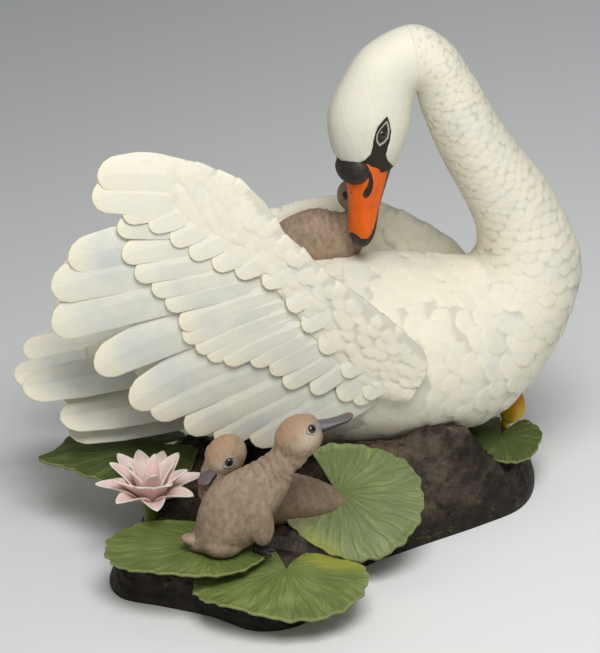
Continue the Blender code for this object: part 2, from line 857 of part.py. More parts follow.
def pad_spot(pad, angle, share, grow=0.0):
    """The point of a pad's upper face, share of the way from its heart to its rim at this angle."""
    away = math.remainder(angle - math.radians(pad.point[0]), 2 * math.pi)
    drawn = 1 + pad.point[1] / pad.reach[0] * math.exp(-((away / PAD_TIP_SPREAD) ** 2))
    reach = Vector(pad.reach) + Vector((grow, grow))
    rim = Vector((reach.x * math.cos(angle), reach.y * math.sin(angle))) * drawn
    spot = Vector(pad.heart).lerp(rim, share)
    height, count, start = pad.wave
    up = pad.tilt[0] * spot.x + pad.tilt[1] * spot.y
    up += share**2 * (height * math.sin(count * angle + start) - pad.droop)
    return Vector(pad.place) + Vector((spot.x, spot.y, up))


def pad_face(bm, pad, grow=0.0, lift=0.0):
    """A pad's open upper face: a grid that is bent round the notch. A grown one has no notch."""
    bmesh.ops.create_grid(bm, x_segments=PAD_SPOKES, y_segments=PAD_RINGS, size=1.0)
    facing, half = math.radians(pad.notch[0]), 0.0 if grow else math.radians(pad.notch[1])
    for vert in bm.verts:
        share = (vert.co.y + 1) / 2
        angle = facing + half + 2 * (math.pi - half) * (1 - vert.co.x) / 2
        vert.co = pad_spot(pad, angle, share, grow)
        vert.co.z += lift
    bmesh.ops.remove_doubles(bm, verts=bm.verts, dist=THIN / 10)


def steepness(pad):
    """How much taller a pad's thickness is when it is measured upright."""
    return math.sqrt(1 + pad.tilt[0] ** 2 + pad.tilt[1] ** 2)


def pad_block(bm, pad, start, reach, grow=0.0):
    """A solid that follows the pad's face, from start to reach above it."""
    pad_face(bm, pad, grow, start)
    extruded = bmesh.ops.extrude_face_region(bm, geom=bm.faces[:], use_keep_orig=True)
    moved = [item for item in extruded["geom"] if isinstance(item, bmesh.types.BMVert)]
    bmesh.ops.translate(bm, verts=moved, vec=(0.0, 0.0, reach - start))


def leaf(bm, pad):
    """The pad itself."""
    pad_block(bm, pad, 0.0, -PAD_THICKNESS * steepness(pad))


def pad_room(bm, pad, below):
    """The room that a pad needs: from just under it up, or from just over it down where below is set."""
    grow = PAD_SEAT_GAP + PAD_THICKNESS
    if below:
        pad_block(bm, pad, PAD_SEAT_GAP * steepness(pad), -PAD_SEAT_REACH, grow)
    else:
        pad_block(bm, pad, -grow * steepness(pad), PAD_SEAT_REACH, grow)


# Flowers


def petal(bm, heart, direction, rise, length, half_width, from_middle):
    """A pointed, cupped petal that grows out of the heart."""
    flat = Vector((math.cos(direction), math.sin(direction), 0.0))
    root = heart + flat * from_middle
    along = flat * math.cos(rise) + Vector((0.0, 0.0, math.sin(rise)))
    across = Vector((-math.sin(direction), math.cos(direction), 0.0))
    inward = across.cross(along) * -1.0
    rings = []
    for share in PETAL_SHARES:
        width = half_width * math.sin(math.pi * (0.10 + 0.76 * share))
        ring = []
        for b, h in PETAL_SECTION:
            cup = PETAL_CUP * (math.sin(math.pi * share) + abs(b) * share)
            spot = root + along * length * share + across * width * b
            ring.append(spot + inward * (cup + h * PETAL_THICKNESS))
        rings.append(ring)
    rings.append([root + along * length + inward * PETAL_CUP])
    add_loft(bm, rings)


def lily_stem(bm, grow=0.0):
    """The water lily's stem, which stands in the bank."""
    foot = Vector((*LILY_PLACE, LILY_HEART_UP - LILY_STEM_SINK / 2 - grow / 2))
    bmesh.ops.create_cone(
        bm,
        cap_ends=True,
        segments=16,
        radius1=LILY_STEM_RADIUS + grow,
        radius2=LILY_STEM_RADIUS + grow,
        depth=LILY_STEM_SINK + grow,
        matrix=Matrix.Translation(foot),
    )


def make_water_lily(figurine, helpers):
    """The water lily: heart, stem and petals in one solid."""
    heart = Vector((*LILY_PLACE, LILY_HEART_UP))

    def ball(bm):
        size = Matrix.Diagonal((LILY_HEART_RADIUS, LILY_HEART_RADIUS, LILY_HEART_HALF_DEPTH, 1.0))
        bmesh.ops.create_uvsphere(
            bm, u_segments=16, v_segments=8, radius=1.0, matrix=Matrix.Translation(heart) @ size
        )

    lily = solid_object("water_lily", ball, figurine, "petal_pink")
    parts = [solid_object("lily_stem", lily_stem, helpers)]
    for ring, (directions, rise, *shape) in enumerate(LILY_RINGS):
        for k, direction in enumerate(directions):
            parts.append(
                solid_object(
                    f"petal_{ring + 1}_{k + 1}",
                    lambda bm: petal(bm, heart, math.radians(direction), math.radians(rise), *shape),
                    helpers,
                )
            )
    join_all(lily, parts, solver="MANIFOLD")
    room = solid_object("stamens_room", lambda bm: stamen_bed(bm, SEAT_GAP), helpers)
    cut_by(lily, room, solver="MANIFOLD")
    return lily


def stamen_bed(bm, grow=0.0):
    """The cushion under the stamens, set into the top of the lily's heart."""
    height = STAMEN_BED_DEPTH + 2 * grow
    bmesh.ops.create_cone(
        bm,
        cap_ends=True,
        segments=14,
        radius1=STAMEN_BED_RADIUS + grow,
        radius2=STAMEN_BED_RADIUS + grow,
        depth=height,
        matrix=Matrix.Translation((*LILY_PLACE, LILY_HEART_UP + LILY_HEART_HALF_DEPTH)),
    )


def stamen(bm, direction):
    """One stamen, leaning out of the cushion."""
    foot = Vector((*LILY_PLACE, LILY_HEART_UP + LILY_HEART_HALF_DEPTH))
    out = Vector((math.cos(direction), math.sin(direction), 0.0))
    axis = (Vector((0, 0, 1)) + out * STAMEN_LEAN).normalized()
    turn = axis.to_track_quat("Z", "Y").to_matrix().to_4x4()
    middle = foot + out * STAMEN_RING + axis * (STAMEN_LENGTH / 2)
    bmesh.ops.create_cone(
        bm,
        cap_ends=True,
        segments=6,
        radius1=STAMEN_RADIUS,
        radius2=STAMEN_RADIUS * 1.4,
        depth=STAMEN_LENGTH,
        matrix=Matrix.Translation(middle) @ turn,
    )


def make_stamens(figurine, helpers):
    """The stamens and their cushion in one solid."""
    stamens = solid_object("lily_stamens", stamen_bed, figurine, "stamen_orange")
    parts = []
    for k in range(STAMEN_COUNT):
        direction = 2 * math.pi * k / STAMEN_COUNT
        parts.append(solid_object(f"stamen_{k + 1}", lambda bm: stamen(bm, direction), helpers))
    join_all(stamens, parts)
    return stamens


def bud_stem(bm, grow=0.0):
    """The bud's stem, which stands in the bank."""
    bmesh.ops.create_cone(
        bm,
        cap_ends=True,
        segments=14,
        radius1=BUD_STEM_RADIUS + grow,
        radius2=BUD_STEM_RADIUS + grow,
        depth=BUD_STEM_SINK + grow,
        matrix=Matrix.Translation((*BUD_PLACE, BUD_UP - BUD_STEM_SINK / 2 - grow / 2)),
    )


def bud_egg(bm, grow=0.0):
    """The closed bud, leaning away from the swan."""
    lean = Matrix.Rotation(BUD_LEAN, 4, "Y")
    size = Matrix.Diagonal((BUD_RADIUS + grow, BUD_RADIUS + grow, BUD_LENGTH / 2 + grow, 1.0))
    seat = Matrix.Translation((*BUD_PLACE, BUD_UP)) @ lean
    bmesh.ops.create_uvsphere(bm, u_segments=16, v_segments=10, radius=1.0, matrix=seat @ size)


def make_bud(figurine, helpers):
    """The bud on its stem."""
    bud = solid_object("yellow_bud", bud_egg, figurine, "bud_yellow")
    join_all(bud, [solid_object("bud_stem", bud_stem, helpers)])
    return bud


# Bank


def bank_height(x, y):
    """Height of the bank's top, before its rim is rounded off."""
    height = BANK_TOP
    for cx, cy, reach_x, reach_y, rise in BANK_LUMPS:
        away = ((x - cx) / reach_x) ** 2 + ((y - cy) / reach_y) ** 2
        height += rise * math.exp(-(away**1.5))
    return height


def bank(bm):
    """The bank: rings from the middle to the rim, which curves down to the floor."""
    rim = smooth_line([(*p, 0.0) for p in BANK_OUTLINE], 4, closed=True)
    step = len(rim) / BANK_SPOKES
    spokes = [rim[int(k * step)] for k in range(BANK_SPOKES)]
    middle = Vector((*BANK_CENTRE, 0.0))
    rings = [[Vector((*BANK_CENTRE, bank_height(*BANK_CENTRE)))]]
    for share in BANK_RINGS:
        ring = []
        for spoke in spokes:
            spot = middle.lerp(spoke, share)
            height = bank_height(spot.x, spot.y)
            ring.append(Vector((spot.x, spot.y, height * max(1 - share**BANK_EDGE_POWER, 0.0) ** 0.5)))
        rings.append(ring)
    add_loft(bm, rings)


def make_bank(figurine, helpers):
    """The bank, with a seat for everything that is bedded in it."""
    base = solid_object("bank", bank, figurine, "earth_brown")
    rooms = [
        ("swan_room", lambda bm: swan_core(bm, SEAT_GAP)),
        ("resting_room", lambda bm: cygnet_body(bm, CYGNETS["cygnet_resting"], SEAT_GAP)),
        ("lily_stem_room", lambda bm: lily_stem(bm, SEAT_GAP)),
        ("bud_stem_room", lambda bm: bud_stem(bm, SEAT_GAP)),
        ("bud_room", lambda bm: bud_egg(bm, SEAT_GAP)),
    ]
    for name, pad in PADS.items():
        rooms.append((name + "_room", lambda bm, pad=pad: pad_room(bm, pad, below=False)))
    for name, maker in rooms:
        cut_by(base, solid_object(name, maker, helpers))
    return base


def main():
    clear_scene()
    figurine = new_collection("swan_on_lily_bank")
    helpers = new_collection("helpers", helper=True)
    make_swan(figurine, helpers)
    seats = {
        "cygnet_front": [lambda bm: pad_room(bm, PADS["lily_pad_left"], below=True)],
        "cygnet_resting": [
            lambda bm: swan_core(bm, SEAT_GAP),
            lambda bm: pad_room(bm, PADS["lily_pad_left"], below=True),
            lambda bm: pad_room(bm, PADS["lily_pad_right"], below=False),
        ],
        "cygnet_on_back": [lambda bm: swan_core(bm, SEAT_GAP)],
    }
    for name, form in CYGNETS.items():
        make_cygnet(name, form, seats[name], figurine, helpers)
    for name, pad in PADS.items():
        solid_object(name, lambda bm: leaf(bm, pad), figurine, "pad_green")
    make_water_lily(figurine, helpers)
    make_stamens(figurine, helpers)
    make_bud(figurine, helpers)
    make_bank(figurine, helpers)


main()
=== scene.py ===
"""Looks of a painted bisque porcelain group: a swan, three cygnets, lily pads and flowers.

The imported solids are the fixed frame. Every node is replaced by finer pieces that
are modelled here round the same places: a skin with feathers laid on it, wings of
long feathers, painted bill and eyes, downy cygnets, veined pads, petals and a bank.

Tables are in millimetres and MM turns them into metres. The swan has a frame of its
own: forward runs from tail to breast, side is positive towards the far wing, and up
is height above the floor.
"""

import logging
import math
from dataclasses import dataclass, field
from enum import Enum
from typing import Callable, Sequence

import bmesh
import bpy
import numpy as np
from mathutils import Matrix, Vector, kdtree, noise


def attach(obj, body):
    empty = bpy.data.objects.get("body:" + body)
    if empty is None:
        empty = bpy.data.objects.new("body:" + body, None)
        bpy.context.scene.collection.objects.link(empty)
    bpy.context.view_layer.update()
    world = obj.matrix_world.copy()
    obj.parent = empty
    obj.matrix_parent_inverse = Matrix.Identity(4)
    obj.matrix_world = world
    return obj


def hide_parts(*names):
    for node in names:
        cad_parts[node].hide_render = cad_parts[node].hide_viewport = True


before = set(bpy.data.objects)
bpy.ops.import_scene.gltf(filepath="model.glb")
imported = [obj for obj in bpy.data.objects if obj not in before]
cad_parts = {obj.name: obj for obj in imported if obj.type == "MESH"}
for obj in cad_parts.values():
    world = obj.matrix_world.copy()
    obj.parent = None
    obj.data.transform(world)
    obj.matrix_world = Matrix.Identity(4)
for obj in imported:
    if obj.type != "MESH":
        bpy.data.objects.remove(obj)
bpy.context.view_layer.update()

MM = 0.001
BODY = "root"
LOG = logging.getLogger("swan_group")

Point = Sequence[float]
Array = np.ndarray
Mesh, Material, BMesh = bpy.types.Mesh, bpy.types.Material, bmesh.types.BMesh
Placed = tuple[Array, dict[str, Array]]  # places, and the values that they carry
Shape = Callable[[Array, Array], Placed]  # from two numbers that run from 0 to 1

FULL_TURN = 2 * math.pi
GOLDEN_TURN = 2.399963  # from one stamen to the next, in radians
WELD = 0.002 * MM  # points nearer than this are one
PAD_VEINS = 21.0  # of a whole pad, painted and raised alike
OUTSIDE = -9.0  # the distance that stands for far outside a mark, in millimetres


# Numbers: lines, outlines and noise


class SmoothLine:
    """A Catmull-Rom line through points, read at any place from 0 to the last point's index."""

    def __init__(self, points: Sequence[Point], closed: bool = False) -> None:
        """Keeps the points.

        Args:
            points: rows of numbers, any count in a row.
            closed: whether the line runs on from its last point to its first.
        """
        self.points = np.asarray(points, float)
        self.closed = closed
        self.last = len(self.points) - (0 if closed else 1)

    def _row(self, index: Array) -> Array:
        """The points at these indices, with the ends carried on straight."""
        count = len(self.points)
        if self.closed:
            return self.points[index % count]
        inside = self.points[np.clip(index, 0, count - 1)]
        before = 2 * self.points[0] - self.points[1]
        after = 2 * self.points[-1] - self.points[-2]
        inside = np.where((index < 0)[:, None], before, inside)
        return np.where((index >= count)[:, None], after, inside)

    def at(self, place: Array) -> Array:
        """The line's points.

        Args:
            place: where to read it, in steps from point to point.

        Returns:
            One row for each place.
        """
        place = np.atleast_1d(np.asarray(place, float))
        if not self.closed:
            place = np.clip(place, 0, self.last)
        low = np.floor(place).astype(int)
        if not self.closed:
            low = np.minimum(low, self.last - 1)
        t = (place - low)[:, None]
        a, b, c, d = (self._row(low + k) for k in (-1, 0, 1, 2))
        bend = (2 * a - 5 * b + 4 * c - d) * t**2 + (3 * b - a - 3 * c + d) * t**3
        return 0.5 * (2 * b + (c - a) * t + bend)

    def share(self, share: Array) -> Array:
        """The line's points at these shares of its whole length in steps."""
        return self.at(np.asarray(share, float) * self.last)


def unit(rows: Array) -> Array:
    """The rows as vectors of length one."""
    return rows / np.maximum(np.linalg.norm(rows, axis=-1, keepdims=True), 1e-12)


def smooth_step(low: float, high: float, value: Array) -> Array:
    """0 below low, 1 above high and an even curve between."""
    t = np.clip((np.asarray(value, float) - low) / (high - low), 0, 1)
    return t * t * (3 - 2 * t)


def outline_distance(points: Array, outline: Sequence[Point]) -> Array:
    """How far 2-D points lie inside a closed outline, negative outside it.

    Args:
        points: rows of x and y.
        outline: its corners in order.

    Returns:
        One signed distance for each point.
    """
    corners = np.asarray(outline, float)
    ends = np.roll(corners, -1, axis=0)
    nearest = np.full(len(points), np.inf)
    inside = np.zeros(len(points), bool)
    for a, b in zip(corners, ends):
        edge = b - a
        t = np.clip(((points - a) @ edge) / (edge @ edge), 0, 1)
        nearest = np.minimum(nearest, np.linalg.norm(points - a - t[:, None] * edge, axis=1))
        crosses = (a[1] > points[:, 1]) != (b[1] > points[:, 1])
        reach = a[0] + (points[:, 1] - a[1]) * (b[0] - a[0]) / (b[1] - a[1] if b[1] != a[1] else 1e-9)
        inside ^= crosses & (points[:, 0] < reach)
    return np.where(inside, nearest, -nearest)


def bumpiness(points: Array, size: float, seed: float, octaves: int = 3) -> Array:
    """Smooth noise from about -1 to 1 at each point.

    Args:
        points: places in metres.
        size: the width of a lump in metres.
        seed: moves the pattern.
        octaves: how many finer patterns are added.
    """
    shift = Vector((seed, seed * 1.7, -seed))
    return np.array([noise.fractal(Vector(p) / size + shift, 0.9, 2.0, octaves) for p in points])


# The camera of the photograph


@dataclass(frozen=True)
class PhotoView:
    """The camera, and where a point of the world falls in the photograph."""

    target: Point = (-0.0075, 0.0, 0.1438)
    elevation: float = math.radians(24.0)
    distance: float = 1.5
    pixel: float = 0.00063  # metres to a pixel at the target
    frame_px: Point = (600.0, 653.0)
    sensor: float = 36.0

    def axes(self) -> tuple[Array, Array, Array]:
        """The ways right, up and forward of the camera."""
        right = np.array((1.0, 0.0, 0.0))
        forward = np.array((0.0, math.cos(self.elevation), -math.sin(self.elevation)))
        return right, np.cross(right, forward), forward

    def place(self) -> Array:
        """Where the camera stands."""
        return np.array(self.target) - self.axes()[2] * self.distance

    def pixels(self, points: Array) -> Array:
        """Where points fall in the photograph, as x from its left and y from its top."""
        right, up, forward = self.axes()
        away = points - self.place()
        scale = self.distance / (away @ forward) / self.pixel
        across = self.frame_px[0] / 2 + (away @ right) * scale
        down = self.frame_px[1] / 2 - (away @ up) * scale
        return np.stack([across, down], axis=1)

    def build(self) -> None:
        """Makes the scene's camera."""
        data = bpy.data.cameras.new("photo_view")
        data.sensor_fit = "VERTICAL"
        data.sensor_height = self.sensor
        data.lens = self.sensor * self.distance / (self.frame_px[1] * self.pixel)
        camera = bpy.data.objects.new("photo_view", data)
        camera.location = Vector(self.place())
        camera.rotation_euler = (math.pi / 2 - self.elevation, 0.0, 0.0)
        bpy.context.scene.collection.objects.link(camera)
        bpy.context.scene.camera = camera


VIEW = PhotoView()
PX_MM = VIEW.pixel / MM  # millimetres to a pixel


# Shader graphs


class Value:
    """A number, vector or colour in a shader graph. Arithmetic on it adds Math nodes."""

    def __init__(self, graph: "Graph", socket: bpy.types.NodeSocket) -> None:
        """Keeps the graph, and the socket that gives the value."""
        self.graph, self.socket = graph, socket

    def __add__(self, other: object) -> "Value":
        """The sum."""
        return self.graph.math("ADD", self, other)

    def __sub__(self, other: object) -> "Value":
        """The value less another."""
        return self.graph.math("SUBTRACT", self, other)

    def __rsub__(self, other: object) -> "Value":
        """Another less the value."""
        return self.graph.math("SUBTRACT", other, self)

    def __mul__(self, other: object) -> "Value":
        """The product."""
        return self.graph.math("MULTIPLY", self, other)

    def __abs__(self) -> "Value":
        """The value without its sign."""
        return self.graph.math("ABSOLUTE", self)

    __radd__, __rmul__ = __add__, __mul__

    def sine(self) -> "Value":
        """The sine of an angle in radians."""
        return self.graph.math("SINE", self)

    def spread(
        self, low: float, high: float, to_low: float = 0.0, to_high: float = 1.0, curve: str = "SMOOTHSTEP"
    ) -> "Value":
        """The value carried from one range to another along a curve, and held at its ends."""
        made = self.graph.node("ShaderNodeMapRange", interpolation_type=curve)
        for socket, given in zip(made.inputs, (self, low, high, to_low, to_high)):
            self.graph.feed(socket, given)
        return Value(self.graph, made.outputs[0])

    def mix(self, a: object, b: object) -> "Value":
        """Two colours mixed, this being the second one's share."""
        return self.graph.mix(self, a, b)

    def parts(self) -> list["Value"]:
        """A vector's three numbers."""
        made = self.graph.node("ShaderNodeSeparateXYZ")
        self.graph.feed(made.inputs[0], self)
        return [Value(self.graph, socket) for socket in made.outputs]


class Graph:
    """Short names for what the finishes build in a node tree."""

    def __init__(self, tree: bpy.types.NodeTree) -> None:
        """Keeps the tree that the nodes go in."""
        self.tree = tree

    def node(self, kind: str, **settings: object) -> bpy.types.Node:
        """A new node with these settings."""
        made = self.tree.nodes.new(kind)
        for name, value in settings.items():
            setattr(made, name, value)
        return made

    def feed(self, socket: bpy.types.NodeSocket, value: object) -> None:
        """Links a socket to a value of the graph, or sets it."""
        if isinstance(value, Value):
            self.tree.links.new(value.socket, socket)
        elif isinstance(value, tuple) and socket.type == "RGBA":
            socket.default_value = (*value, 1.0)
        else:
            socket.default_value = value

    def _fed(self, kind: str, output: str, **inputs: object) -> Value:
        """One output of a new node whose sockets are fed, by their names."""
        made = self.node(kind)
        for name, value in inputs.items():
            self.feed(made.inputs[name], value)
        return Value(self, made.outputs[output])

    def math(self, operation: str, a: object, b: object = 0.0) -> Value:
        """A Math node's value."""
        made = self.node("ShaderNodeMath", operation=operation)
        self.feed(made.inputs[0], a)
        self.feed(made.inputs[1], b)
        return Value(self, made.outputs[0])

    def mix(self, share: object, a: object, b: object, blend: str = "MIX") -> Value:
        """Two colours mixed. The sockets are numbered, because a Mix node's names repeat."""
        made = self.node("ShaderNodeMix", data_type="RGBA", blend_type=blend, clamp_factor=True)
        for index, value in ((0, share), (6, a), (7, b)):
            self.feed(made.inputs[index], value)
        return Value(self, made.outputs[2])

    def stretch(self, vector: Value, scale: Point, turn: Point = (0.0, 0.0, 0.0)) -> Value:
        """Coordinates that are scaled and turned."""
        return self._fed("ShaderNodeMapping", "Vector", Vector=vector, Scale=scale, Rotation=turn)

    def grain(self, vector: Value, scale: float, detail: float = 3.0, roughness: float = 0.55) -> Value:
        """Noise from 0 to 1."""
        return self._fed(
            "ShaderNodeTexNoise", "Fac", Vector=vector, Scale=scale, Detail=detail, Roughness=roughness
        )

    def cells(self, vector: Value, scale: float) -> Value:
        """Distance to the middle of the nearest of many scattered cells."""
        return self._fed("ShaderNodeTexVoronoi", "Distance", Vector=vector, Scale=scale)

    def vector(self, x: object, y: object, z: object = 0.0) -> Value:
        """A vector of three numbers."""
        return self._fed("ShaderNodeCombineXYZ", "Vector", X=x, Y=y, Z=z)

    def object_place(self) -> Value:
        """The place on the piece, in metres."""
        return self._fed("ShaderNodeTexCoord", "Object")

    def uv(self) -> Value:
        """The piece's own UV map."""
        return Value(self, self.node("ShaderNodeUVMap", uv_map="laid").outputs[0])

    def painted(self, name: str) -> Value:
        """A value that the mesh carries at its points."""
        return Value(self, self.node("ShaderNodeAttribute", attribute_name=name).outputs["Fac"])

    def bump(self, height: Value, strength: float, distance: float, normal: Value | None = None) -> Value:
        """A normal that is tilted by a height."""
        more = {"Normal": normal} if normal else {}
        return self._fed(
            "ShaderNodeBump", "Normal", Strength=strength, Distance=distance, Height=height, **more
        )

    def group(self, tree: bpy.types.NodeTree, **inputs: object) -> dict[str, Value]:
        """The outputs of a node group placed with these inputs, by their names."""
        made = self.node("ShaderNodeGroup", node_tree=tree)
        for name, value in inputs.items():
            self.feed(made.inputs[name], value)
        return {socket.name: Value(self, socket) for socket in made.outputs}


FLOAT, COLOUR, VECTOR = "NodeSocketFloat", "NodeSocketColor", "NodeSocketVector"


def new_group(
    name: str, inputs: dict[str, tuple[str, object]], outputs: dict[str, str]
) -> tuple[Graph, dict[str, Value], bpy.types.Node]:
    """An empty shader group.

    Args:
        name: the group's name.
        inputs: socket name to its kind and its usual value.
        outputs: socket name to its kind.

    Returns:
        The graph to build in, the input values by name, and the output node.
    """
    tree = bpy.data.node_groups.new(name, "ShaderNodeTree")
    for label, (kind, usual) in inputs.items():
        socket = tree.interface.new_socket(label, in_out="INPUT", socket_type=kind)
        if usual is not None:
            socket.default_value = usual
    for label, kind in outputs.items():
        tree.interface.new_socket(label, in_out="OUTPUT", socket_type=kind)
    graph = Graph(tree)
    given = {socket.name: Value(graph, socket) for socket in graph.node("NodeGroupInput").outputs}
    return graph, given, graph.node("NodeGroupOutput")


def bisque_group() -> bpy.types.NodeTree:
    """Unglazed porcelain: fine pores, and paint that lies a little unevenly."""
    graph, given, out = new_group(
        "Bisque", {"Color": (COLOUR, None), "Unevenness": (FLOAT, 0.06)}, {"Color": COLOUR, "Height": FLOAT}
    )
    place = graph.object_place()
    light = 1.0 + (graph.grain(place, 60.0, 4.0) - 0.5) * given["Unevenness"] * 2.0
    colour = graph.mix(1.0, given["Color"], graph.vector(light, light, light), "MULTIPLY")
    graph.feed(out.inputs["Color"], colour)
    graph.feed(out.inputs["Height"], graph.grain(place, 2600.0, 2.0))
    return graph.tree


def barbs_group() -> bpy.types.NodeTree:
    """Barbs of a feather, from its UV map: fine lines that leave the shaft at a slant."""
    graph, given, out = new_group(
        "Barbs",
        {"UV": (VECTOR, None), "Lines": (FLOAT, 26.0), "Slant": (FLOAT, 0.9)},
        {"Height": FLOAT, "Splits": FLOAT},
    )
    along, across, _ = given["UV"].parts()
    side = abs(across - 0.5)
    place = along - side * given["Slant"]
    wander = graph.grain(graph.object_place(), 240.0, 2.0)
    comb = ((place * given["Lines"] + wander * 1.6) * FULL_TURN).sine()
    fine = graph.grain(graph.vector(place * 60.0, side * 6.0, wander), 1.0, 3.0)
    streak = graph.grain(graph.vector(place * 22.0, side * 2.2, wander), 1.0, 1.0)
    graph.feed(out.inputs["Height"], comb * 0.12 + fine)
    graph.feed(out.inputs["Splits"], streak.spread(0.66, 0.74))
    return graph.tree


BISQUE = bisque_group()
BARBS = barbs_group()


class Look(Graph):
    """A material in the making: its graph and its Principled shader."""

    def __init__(self, name: str, roughness: float) -> None:
        """Makes the material, with a shader of this roughness."""
        self.material = bpy.data.materials.new(name)
        self.material.use_nodes = True
        super().__init__(self.material.node_tree)
        self.shader = self.tree.nodes["Principled BSDF"]
        self.set_plain({"Roughness": roughness, "Specular IOR Level": 0.35})

    def set_plain(self, values: dict[str, float]) -> None:
        """Sets plain values of the shader."""
        for name, value in values.items():
            self.shader.inputs[name].default_value = value

    def bisque(self, colour: Value, unevenness: float) -> tuple[Value, Value]:
        """A colour painted on porcelain, and the height of the porcelain's pores."""
        made = self.group(BISQUE, Color=colour, Unevenness=unevenness)
        return made["Color"], made["Height"]

    def over_pores(self, pores: Value, height: Value, strength: float, distance: float) -> Value:
        """A normal tilted by a height, and faintly by the pores."""
        return self.bump(height, strength, distance, self.bump(pores, 0.10, 0.0001))

    def end(self, colour: Value, normal: Value | None = None) -> Material:
        """Feeds the shader, and gives the material."""
        self.feed(self.shader.inputs["Base Color"], colour)
        if normal:
            self.feed(self.shader.inputs["Normal"], normal)
        return self.material

    def fire(
        self, colour: Value, unevenness: float, height: Value | None, strength: float, distance: float
    ) -> Material:
        """Ends the material as painted porcelain.

        Args:
            colour: the paint.
            unevenness: how much the paint varies.
            height: the relief, or None for the pores.
            strength: how much the relief tilts the normal.
            distance: how deep the relief is, in metres.
        """
        colour, pores = self.bisque(colour, unevenness)
        return self.end(colour, self.bump(height or pores, strength, distance))


@dataclass(frozen=True)
class Plumage:
    """Ivory feathers with blue-grey in their middles, cream on their tips, and painted shade at their roots."""

    name: str = "plumage"
    ivory: Point = (0.85, 0.815, 0.67)
    blue_grey: Point = (0.62, 0.645, 0.605)
    cream: Point = (0.87, 0.82, 0.62)
    # grey of the barbs' splits and the shaft, and of the painted shade at the roots
    lines_and_shade: Point = (0.48, 0.47, 0.41)
    lines: float = 22.0
    barb_depth: float = 0.00022
    roughness: float = 0.55

    def build(self) -> Material:
        """Makes the finish, which reads the points' values blue, creamy and hollow (the painted shade at a
        feather's root), and the UV map.
        """
        look = Look(self.name, self.roughness)
        along, across, _ = look.uv().parts()
        barbs = look.group(BARBS, UV=look.uv(), Lines=self.lines)
        middle = along.spread(0.05, 0.35) * along.spread(0.97, 0.70)
        clouds = look.grain(look.object_place(), 45.0, 3.0).spread(0.08, 0.80)
        colour = (look.painted("blue") * clouds * (0.35 + middle)).mix(self.ivory, self.blue_grey)
        colour = (along.spread(0.80, 1.0) * look.painted("creamy")).mix(colour, self.cream)
        shaft = abs(across - 0.5).spread(0.035, 0.012) * along.spread(0.92, 0.70)
        colour = ((barbs["Splits"] + shaft * 0.6) * 0.16).mix(colour, self.lines_and_shade)
        # painted shade: each long feather's root, under the feather above it, is darkened
        colour = (look.painted("hollow") * 0.42).mix(colour, self.lines_and_shade)
        colour, pores = look.bisque(colour, 0.05)
        return look.end(colour, look.over_pores(pores, barbs["Height"], 0.55, self.barb_depth))


@dataclass(frozen=True)
class ReliefPlumage:
    """Ivory plumage that is cast as low relief: cream on the tips, and a little grey painted in the hollows as
    painted shade.
    """

    name: str = "relief_plumage"
    ivory: Point = (0.85, 0.81, 0.655)
    cool: Point = (0.70, 0.70, 0.62)
    cream: Point = (0.87, 0.82, 0.63)
    # grey of the barbs and of the painted shade between feathers
    lines_and_shade: Point = (0.47, 0.45, 0.375)
    roughness: float = 0.62

    def build(self) -> Material:
        """Makes the finish, which reads the points' values along, across, tone and level; a low level gets
        painted shade.
        """
        look = Look(self.name, self.roughness)
        along, across, tone = look.painted("along"), look.painted("across"), look.painted("tone")
        barbs = look.grain(look.vector(across * (9.0 - along * 3.0), along * 1.6, tone), 1.0, 2.0)
        clouds = look.grain(look.object_place(), 30.0, 3.0).spread(0.40, 0.66)
        colour = (clouds * tone.spread(0.2, 1.0, 0.25, 0.85)).mix(self.ivory, self.cool)
        colour = along.spread(0.65, 1.0, 0.0, 0.7).mix(colour, self.cream)
        # painted shade: darker where a feather lies low, in the grooves between feathers
        colour = look.painted("level").spread(0.60, 0.20, 0.0, 0.42).mix(colour, self.lines_and_shade)
        colour = barbs.spread(0.56, 0.74, 0.0, 0.14).mix(colour, self.lines_and_shade)
        colour, pores = look.bisque(colour, 0.05)
        return look.end(colour, look.over_pores(pores, barbs, 0.40, 0.0004))


@dataclass(frozen=True)
class Skin:
    """The plain skin under the feathers, with the fine strokes of the head's short plumes."""

    name: str = "swan_skin"
    ivory: Point = (0.85, 0.81, 0.655)
    cool: Point = (0.74, 0.745, 0.655)
    mask: Point = (0.022, 0.014, 0.010)
    ring: Point = (0.46, 0.41, 0.34)
    roughness: float = 0.55

    def build(self) -> Material:
        """Makes the finish, which reads the points' values mask, ring and cool, and the UV map."""
        look = Look(self.name, self.roughness)
        strokes = look.grain(look.stretch(look.uv(), (260.0, 46.0, 1.0)), 1.0, 2.0)
        plumes = look.cells(look.stretch(look.uv(), (300.0, 70.0, 1.0)), 1.0)
        ring = look.painted("ring")
        colour = look.painted("cool").mix(self.ivory, self.cool)
        colour = strokes.spread(0.62, 0.80, 0.0, 0.35).mix(colour, self.cool)
        colour, pores = look.bisque(colour, 0.05)
        colour = look.painted("mask").spread(-0.10, 0.22).mix(colour, self.mask)
        colour = ring.spread(-0.10, 0.20).mix(colour, self.ring)
        colour = ring.spread(0.75, 1.35).mix(colour, self.mask)
        return look.end(colour, look.over_pores(pores, strokes - plumes * 0.7, 0.35, 0.0003))


@dataclass(frozen=True)
class BillPaint:
    """Orange bill with black edges, nostrils and nail."""

    name: str = "bill_paint"
    orange: Point = (0.83, 0.135, 0.004)
    deep: Point = (0.72, 0.095, 0.003)
    black: Point = (0.022, 0.015, 0.013)
    roughness: float = 0.42

    def build(self) -> Material:
        """Makes the finish, which reads the points' value black."""
        look = Look(self.name, self.roughness)
        clouds = look.grain(look.object_place(), 130.0, 3.0).spread(0.40, 0.75, 0.0, 0.6)
        colour, pores = look.bisque(clouds.mix(self.orange, self.deep), 0.04)
        colour = look.painted("black").spread(-0.12, 0.18).mix(colour, self.black)
        return look.end(colour, look.bump(pores, 0.12, 0.0001))


